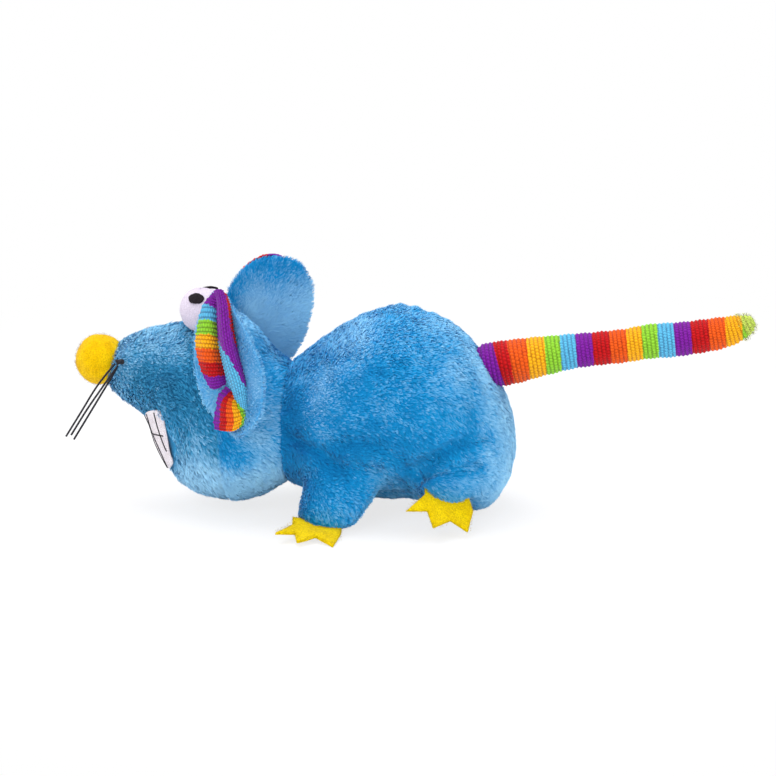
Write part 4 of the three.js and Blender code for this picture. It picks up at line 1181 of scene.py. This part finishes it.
def felt_foot(side, name, end):
    outline = crown_outline(end)
    low, high = outline.min(0), outline.max(0)
    gx, gy = np.meshgrid(np.arange(low[0], high[0], 0.7), np.arange(low[1], high[1], 0.7))
    inner = np.stack((gx.ravel(), gy.ravel()), -1)
    closed = np.vstack((outline, outline[:1]))
    inner = inner[near_line(inner, closed) > 0.5]
    points = [Vector(p) for p in outline] + [Vector(p) for p in inner]
    n = len(outline)
    flat, _, tris, _, _, _ = delaunay_2d_cdt(points, [], [list(range(n))], 1, 1e-5)
    flat = np.array([tuple(p) for p in flat])
    tris = np.array([t for t in tris if len(t) == 3], int)
    rim = near_line(flat, closed)
    round_edge = 0.5 - 0.16 * hill(rim, 0, 0.35)
    lift = 0.32 * noise(np.hstack((flat, np.zeros((len(flat), 1)))), 5, 90 + (end == "rear") + 2 * (side > 0))
    toes = smooth(flat[:, 1], 5, 13)
    height = lift + 0.5 * toes * (end == "rear") + 0.15 * toes
    top = np.stack((flat[:, 0], side * flat[:, 1], height + round_edge), -1)
    under = top - np.stack((0 * lift, 0 * lift, 2 * round_edge), -1)
    at, roll, pitch = FEET[end]
    x, y, z = np.vstack((top, under)).T
    c, s = math.cos(math.radians(pitch)), math.sin(math.radians(pitch))
    x, z = x * c + z * s, -x * s + z * c
    c, s = math.cos(math.radians(-side * roll)), math.sin(math.radians(-side * roll))
    both = np.stack((x, y * c - z * s, y * s + z * c), -1) + BODY_AT + (at[0], side * at[1], at[2])
    m = len(flat)
    sunk = np.maximum(0.02 - both[m:, 2], 0)
    both[:, 2] += np.concatenate((sunk, sunk))
    edge = set()
    for t in tris:
        edge.update(((t[0], t[1]), (t[1], t[2]), (t[2], t[0])))
    walls = np.array([(b, a, a + m, b + m) for a, b in edge if (b, a) not in edge])
    down = tris[:, ::-1] + m
    tops, walls, down = (tris, walls, down) if side > 0 else (tris[:, ::-1], walls[:, ::-1], down[:, ::-1])
    foot = make_mesh(f"{name}_{end}_foot_felt", both, (tops, down, walls))
    place(foot, FELT, f"{name}_{end}_foot", f"{name}_{end}_foot")
    fibres = both[:m][rim < 0.8]
    tuft(f"{name}_{end}_foot_fibres", fibres, np.tile((0, 0.2 * side, 1.0), (len(fibres), 1)), 900, 0.5, 0.07,
         None, FELT, f"{name}_{end}_foot", 1.2)


for side, name in SIDES:
    for end in ("front", "rear"):
        felt_foot(side, name, end)


# Ears: a plush back and a knit front, bent as seen from above along runs that turn

EARS = {
    "left": {"side": -1, "start": 27.987, "middle": 29.299, "height": 51.0, "lean": -6, "heading": 0,
             "egg": -0.16, "arcs": ((0.27, 0), (0.12, -50), (0.25, 0), (0.36, 38))},
    "right": {"side": 1, "start": 29.491, "middle": 27.396, "height": 47.0, "lean": 8, "heading": 8,
              "egg": 0.16, "arcs": ((0.27, -6), (0.35, -26), (0.38, -28))},
}
EAR_WIDTH, EAR_OUT, EAR_DISH = 32.0, 30.0, 2.0


def ear_points(ear, r, angle, offset):
    """Points of an ear sheet by share of its outline, angle round it, and offset to its knit side."""
    p, q = r * np.cos(angle), r * np.sin(angle)
    full = np.where(r > 0, r, 1)
    across = (1 + p * (1 + ear["egg"] * q / full)) / 2 * EAR_WIDTH
    across = np.maximum(across, 0)
    x, y = np.zeros_like(across), np.zeros_like(across)
    heading = np.full_like(across, math.radians(ear["heading"]))
    left = across.copy()
    for i, (share, turn) in enumerate(ear["arcs"]):
        length = share * EAR_WIDTH
        part = left if i == len(ear["arcs"]) - 1 else np.minimum(left, length)
        bend = math.radians(turn) * part / length
        chord = part * np.sinc(bend / 2 / math.pi)
        x = x + chord * np.cos(heading + bend / 2)
        y = y + chord * np.sin(heading + bend / 2)
        heading = heading + bend
        left = left - part
    depth = offset + EAR_DISH * q * q
    up = q * ear["height"] / 2
    px = -ear["start"] + x + depth * np.sin(heading) + up * math.tan(math.radians(ear["lean"]))
    py = -EAR_OUT + y - depth * np.cos(heading)
    return head_to_world(np.stack((px, -ear["side"] * py, ear["middle"] + up), -1))


def ear_back(name):
    """The ear's plush back with its pile, and the root where it is gathered into the seam."""
    ear = EARS[name]
    shares = np.concatenate((np.linspace(0.03, 0.93, 34), (0.95, 0.965, 0.97, 0.955), np.linspace(0.93, 0.03, 20)))
    offsets = np.concatenate((np.full(34, -1.35), (-1.25, -1.0, -0.7, -0.5), np.full(20, -0.42)))
    angle = circle(120) + 0 * shares[:, None]
    wobble = 1 + 0.012 * np.sin(3 * angle + 1) + 0.008 * np.sin(7 * angle)
    points = ear_points(ear, shares[:, None] * wobble, angle, offsets[:, None])
    v, q, caps = shell(points)
    n = vertex_normals(v, q)
    v = v + n * (0.3 * noise(v, 9, 101) + 0.12 * noise(v, 3.5, 102))[:, None]

    def ear_painted_light_and_tone(p):
        # Painted sheen: the right ear's back is lighter towards its lower back; the left ear has an even tone with
        # random change.
        if name == "left":
            return 0.26 + 0.1 * noise(p, 8, 104)
        x, _, z = np.moveaxis(world_to_head(p), -1, 0)
        return 0.02 + 0.6 * smooth(x, -28, -16) * smooth(-z, -50, -28) + 0.08 * noise(p, 8, 104)
    floats = {"tip": np.zeros(len(v)), "tone": STRAND_TONE + ear_painted_light_and_tone(v)}
    skin = make_mesh(f"{name}_ear_back_cloth", v, (q, caps), floats)
    place(skin, PLUSH, f"{name}_ear", f"{name}_ear_back")
    cols = points.shape[1]
    outer_rows = np.arange(len(q)) // cols < 50
    heart = head_to_world(np.array((-ear["start"] + 10, ear["side"] * 33, ear["middle"] - 12)))

    def ear_flow(p):
        return unit(p - heart) + (0.5, 0, -0.1)

    def in_head(p):
        return form_field(world_to_head(p) * (-1, 1, 1) + HEAD_FORM_AT, HEAD_ROWS, HEAD_SIZE) < 0.96
    hair = pile(f"{name}_ear_back_pile", v, q[outer_rows], n, ear_flow, 7.5, 1.6, 0.25, ear_painted_light_and_tone, in_head)
    place(hair, PLUSH, f"{name}_ear", f"{name}_ear_back")
    # The ear's root, gathered under a tuft of pile at the seam
    points, outward = ball(head_to_world(np.array((-21.299, ear["side"] * 26.7, 19.665))), 1.8, 20, 28)
    v, q, caps = shell(points + outward * (0.3 * noise(points, 1.4, 105))[..., None])
    floats = {"tip": np.zeros(len(v)), "tone": np.full(len(v), 0.4)}
    place(make_mesh(f"{name}_ear_root_gather", v, (q, caps), floats), PLUSH, f"{name}_ear")
    hair = pile(f"{name}_ear_root_pile", v, q, vertex_normals(v, q), ear_flow, 12, 1.8, 0.25)
    place(hair, PLUSH, f"{name}_ear")


def ear_front_round(name):
    """The open ear's knit lining, whose edge shows past the plush at the top."""
    ear = EARS[name]
    shares = np.concatenate((np.linspace(0.01, 0.88, 150), (0.895, 0.9, 0.9, 0.88)))
    offsets = np.concatenate((np.full(150, 1.6), (1.45, 1.2, 0.8, 0.5)))[:, None]
    angle = circle(420) + 0 * shares[:, None]
    crest = np.exp(-((angle - 1.95) / 0.62) ** 4)
    crested = shares[:, None] * (1 + 0.12 * crest)
    points = ear_points(ear, crested, angle, offsets - 0.5 * crest * (shares[:, None] > 0.8))
    across, rise = crested * np.cos(angle) * EAR_WIDTH / 2, crested * np.sin(angle) * ear["height"] / 2
    n = grid_normals(points, True)
    toward = ear_points(ear, crested, angle, offsets + 1) - ear_points(ear, crested, angle, offsets)
    n = n * np.sign(np.sum(n * toward))
    obj = knit(f"{name}_ear_front_knit", points, n, rise / COURSE, across / 1.05, 30.6 - across / 6.5, True)
    place(obj, KNIT, f"{name}_ear", f"{name}_ear_front")


def net(points, rows, cols):
    """A fine grid through a net of control points."""
    fine = np.stack([catmull(row, np.linspace(0, 1, cols)) for row in points])
    return np.stack([catmull(fine[:, j], np.linspace(0, 1, rows)) for j in range(cols)], 1)


def crop(u, v, y):
    """A place in the enlarged picture of the near ear."""
    return picture(185 + u / 7, 270 + v / 7, y)


def near_patch(part, control, bands, courses, wales, rows, cols, along=False):
    """A piece of the folded ear's knit, of a flat size in metres, from rows of places and rows of
    stripe counts. The loops' courses run along its rows where along is true, and else across them."""
    points = net([[crop(*c) for c in row] for row in control], rows, cols)
    values = net(np.array(bands)[..., None], rows, cols)[..., 0]
    j, i = np.meshgrid(np.linspace(0, wales, cols), np.linspace(0, courses, rows))
    n = grid_normals(points, False)
    if n[..., 1].sum() > 0:
        n = -n
    obj = knit(f"left_ear_{part}_knit", points, n, *((j, i) if along else (i, j)), values)
    place(obj, KNIT, "left_ear", "left_ear_front")


ear_back("left")
ear_back("right")
ear_front_round("right")
near_patch("flap", (
    ((215, 168, -33.0), (235, 185, -34.5), (255, 200, -35.0), (275, 215, -33.5)),
    ((140, 265, -31.0), (175, 262, -33.6), (225, 268, -34.4), (262, 285, -32.4)),
    ((104, 410, -30.4), (150, 405, -33.8), (210, 408, -34.8), (256, 420, -32.0)),
    ((90, 515, -30.2), (140, 520, -34.0), (210, 524, -35.0), (262, 530, -32.0)),
    ((108, 630, -30.4), (160, 640, -34.0), (225, 640, -34.8), (282, 640, -32.2)),
    ((140, 730, -30.8), (190, 745, -33.6), (250, 742, -34.2), (300, 735, -32.2)),
    ((188, 825, -31.5), (220, 835, -33.0), (262, 825, -33.2), (306, 800, -32.0))),
    ((6.6, 6.6, 6.6, 6.7), (5.85, 5.95, 6.0, 6.05), (4.5, 4.5, 4.5, 4.6), (3.4, 3.4, 3.35, 3.4),
     (2.05, 2.1, 2.1, 2.1), (0.98, 1.0, 1.0, 1.05), (0.03, 0.03, 0.03, 0.03)), 25, 9, 260, 90)
near_patch("roll", (
    ((222, 160, -34.5), (250, 150, -38.0), (285, 152, -39.5), (318, 185, -37.0)),
    ((238, 250, -33.5), (265, 245, -39.0), (310, 250, -40.5), (346, 275, -37.0)),
    ((246, 400, -33.2), (275, 400, -39.6), (325, 400, -41.0), (360, 410, -37.4)),
    ((256, 540, -33.2), (295, 540, -40.0), (345, 540, -41.2), (384, 540, -37.6)),
    ((282, 660, -33.4), (325, 660, -40.2), (375, 655, -41.2), (412, 645, -37.6)),
    ((316, 790, -33.6), (365, 790, -40.2), (415, 780, -41.0), (450, 770, -37.8)),
    ((345, 880, -34.0), (390, 900, -39.4), (435, 905, -40.4), (466, 880, -38.0)),
    ((372, 960, -34.6), (405, 975, -38.4), (445, 980, -39.4), (474, 965, -38.0))),
    ((6.3, 6.5, 6.8, 7.2), (6.2, 6.5, 6.85, 7.25), (6.1, 6.4, 6.8, 7.15), (5.9, 6.2, 6.6, 7.0),
     (5.5, 5.8, 6.2, 6.5), (5.3, 5.6, 5.95, 6.3), (5.0, 5.2, 5.5, 5.8), (4.7, 4.9, 5.1, 5.3)), 38, 8, 340, 96, True)
near_patch("fan", (
    ((300, 815, -32.5), (320, 825, -34.0), (335, 840, -35.0), (350, 860, -35.5)),
    ((245, 880, -32.0), (290, 900, -36.0), (335, 920, -37.5), (400, 930, -36.5)),
    ((232, 960, -32.0), (290, 980, -37.0), (360, 985, -38.6), (440, 970, -37.4)),
    ((214, 1050, -32.4), (285, 1060, -37.4), (370, 1060, -38.8), (466, 1010, -37.8)),
    ((222, 1110, -33.2), (285, 1122, -36.6), (360, 1122, -37.8), (440, 1070, -37.4))),
    ((0.0, 0.4, 0.8, 1.3), (0.2, 1.1, 2.6, 4.7), (0.3, 1.6, 3.2, 5.0), (0.1, 1.5, 3.2, 4.9),
     (0.3, 1.7, 3.3, 4.7)), 10, 15, 150, 160)


# Filling and sachet, inside the closed covers

def lump(name, points, depth, body, node_name):
    """Loose fibre, some way inside the skin over a grid of rings."""
    v, q = fuse([shell(points)], 3.0)
    n = vertex_normals(v, q)
    v = v + n * (0.7 * noise(v, 5, 111) + 0.4 * noise(v, 2.5, 112) - depth)[:, None]
    place(make_mesh(name, v, (q,)), FIBRE, body, node_name)


def pillow():
    """The sachet's square puff, in the body's axes."""
    a = circle(72)
    rings = np.concatenate((np.linspace(0.05, 1, 14), np.linspace(1, 0.05, 14)))[:, None]
    puff = np.sqrt(np.maximum(1 - rings ** 2.6, 0.002)) * np.where(np.arange(28) < 14, 1, -1)[:, None]
    wide, high = (np.sign(v) * np.abs(v) ** 0.6 * half for v, half in ((np.cos(a), 9), (np.sin(a), 13)))
    return np.stack((rings * wide, 2.4 * puff + 0 * wide, rings * high), -1) + BODY_AT + (46.0, 0, 43.98)


points = body_form_points(50, 40)
points = points[world_to_head(points.mean(1))[:, 0] > 1.5]
lump("body_fibre", points, 6.0, "body", "body_filling")
points = form_grid(HEAD_ROWS, HEAD_SIZE, 50, 40)
points = head_to_world(form_to_head(points[points[:, 0, 0] > 7.5]))
lump("head_fibre", points, 5.5, "head", "head_filling")
line, up, wide = tail_frame(np.linspace(0.1, 0.97, 60))
points, _ = ring_grid(line + TAIL_AT, up, np.maximum(wide - 2.0, 1.0), 24)
lump("tail_fibre", points, 0.6, "tail", "tail_filling")
points = pillow()
points[..., 1] += 0.3 * noise(points, 3, 121)
sachet = place(closed_mesh("catnip_sachet_cloth", points), SACHET, "body", "catnip_sachet")


# Floor, world and lamps

def camera_ray(owner):
    return node(owner, "LightPath").outputs["Is Camera Ray"]


def stage():
    """A floor that takes shadows, and that the camera sees fade to white away from the toy."""
    size = 4000.0
    corners = ((-size, -size, 0), (size, -size, 0), (size, size, 0), (-size, size, 0))
    floor = make_mesh("floor", corners, (np.array([(0, 1, 2, 3)]),))
    material = new_material("floor", (0.9, 0.9, 0.92, 1), 1.0, specular=0.0)
    away = node(material, "VectorMath", {0: node(material, "TexCoord").outputs["Object"]}, operation="LENGTH")
    inputs = {"Value": away.outputs["Value"], "From Min": 0.1, "From Max": 0.3, "To Min": 0.76}
    fade = node(material, "MapRange", inputs, interpolation_type="SMOOTHSTEP").outputs["Result"]
    seen = node(material, "Math", {0: camera_ray(material), 1: fade}, operation="MULTIPLY").outputs["Value"]
    glow = node(material, "Emission", {"Color": WHITE}).outputs["Emission"]
    nodes = material.node_tree.nodes
    mixer = node(material, "MixShader", {"Fac": seen, 1: nodes["Principled BSDF"].outputs["BSDF"], 2: glow})
    join(material, mixer.outputs["Shader"], nodes["Material Output"].inputs["Surface"])
    floor.data.materials.append(material)


def light_world():
    """Soft light from all round, and plain white for the camera."""
    world = bpy.data.worlds.new("studio")
    bpy.context.scene.world = world
    world.use_nodes = True
    nodes = world.node_tree.nodes
    join(world, (0.95, 0.97, 1.0, 1), nodes["Background"].inputs["Color"])
    join(world, 0.85, nodes["Background"].inputs["Strength"])
    white = node(world, "Background", {"Color": WHITE, "Strength": 1.0}).outputs["Background"]
    inputs = {"Fac": camera_ray(world), 1: nodes["Background"].outputs["Background"], 2: white}
    mixer = node(world, "MixShader", inputs)
    join(world, mixer.outputs["Shader"], nodes["World Output"].inputs["Surface"])


def lamp(name, location, size, power):
    data = bpy.data.lights.new(name, "AREA")
    data.shape = "DISK"
    data.size = size
    data.energy = power
    obj = bpy.data.objects.new(name, data)
    obj.location = location
    obj.rotation_euler = (Vector((0, 0, 0.03)) - Vector(location)).to_track_quat("-Z", "Y").to_euler()
    bpy.context.scene.collection.objects.link(obj)


stage()
light_world()
lamp("overhead", (-0.2, 0.1, 0.9), 0.7, 6.0)
lamp("right_side", (0.8, -0.35, 0.5), 0.6, 2.2)
lamp("front", (-0.4, -0.95, 0.6), 0.7, 4.4)
bpy.context.scene.view_settings.view_transform = "Standard"
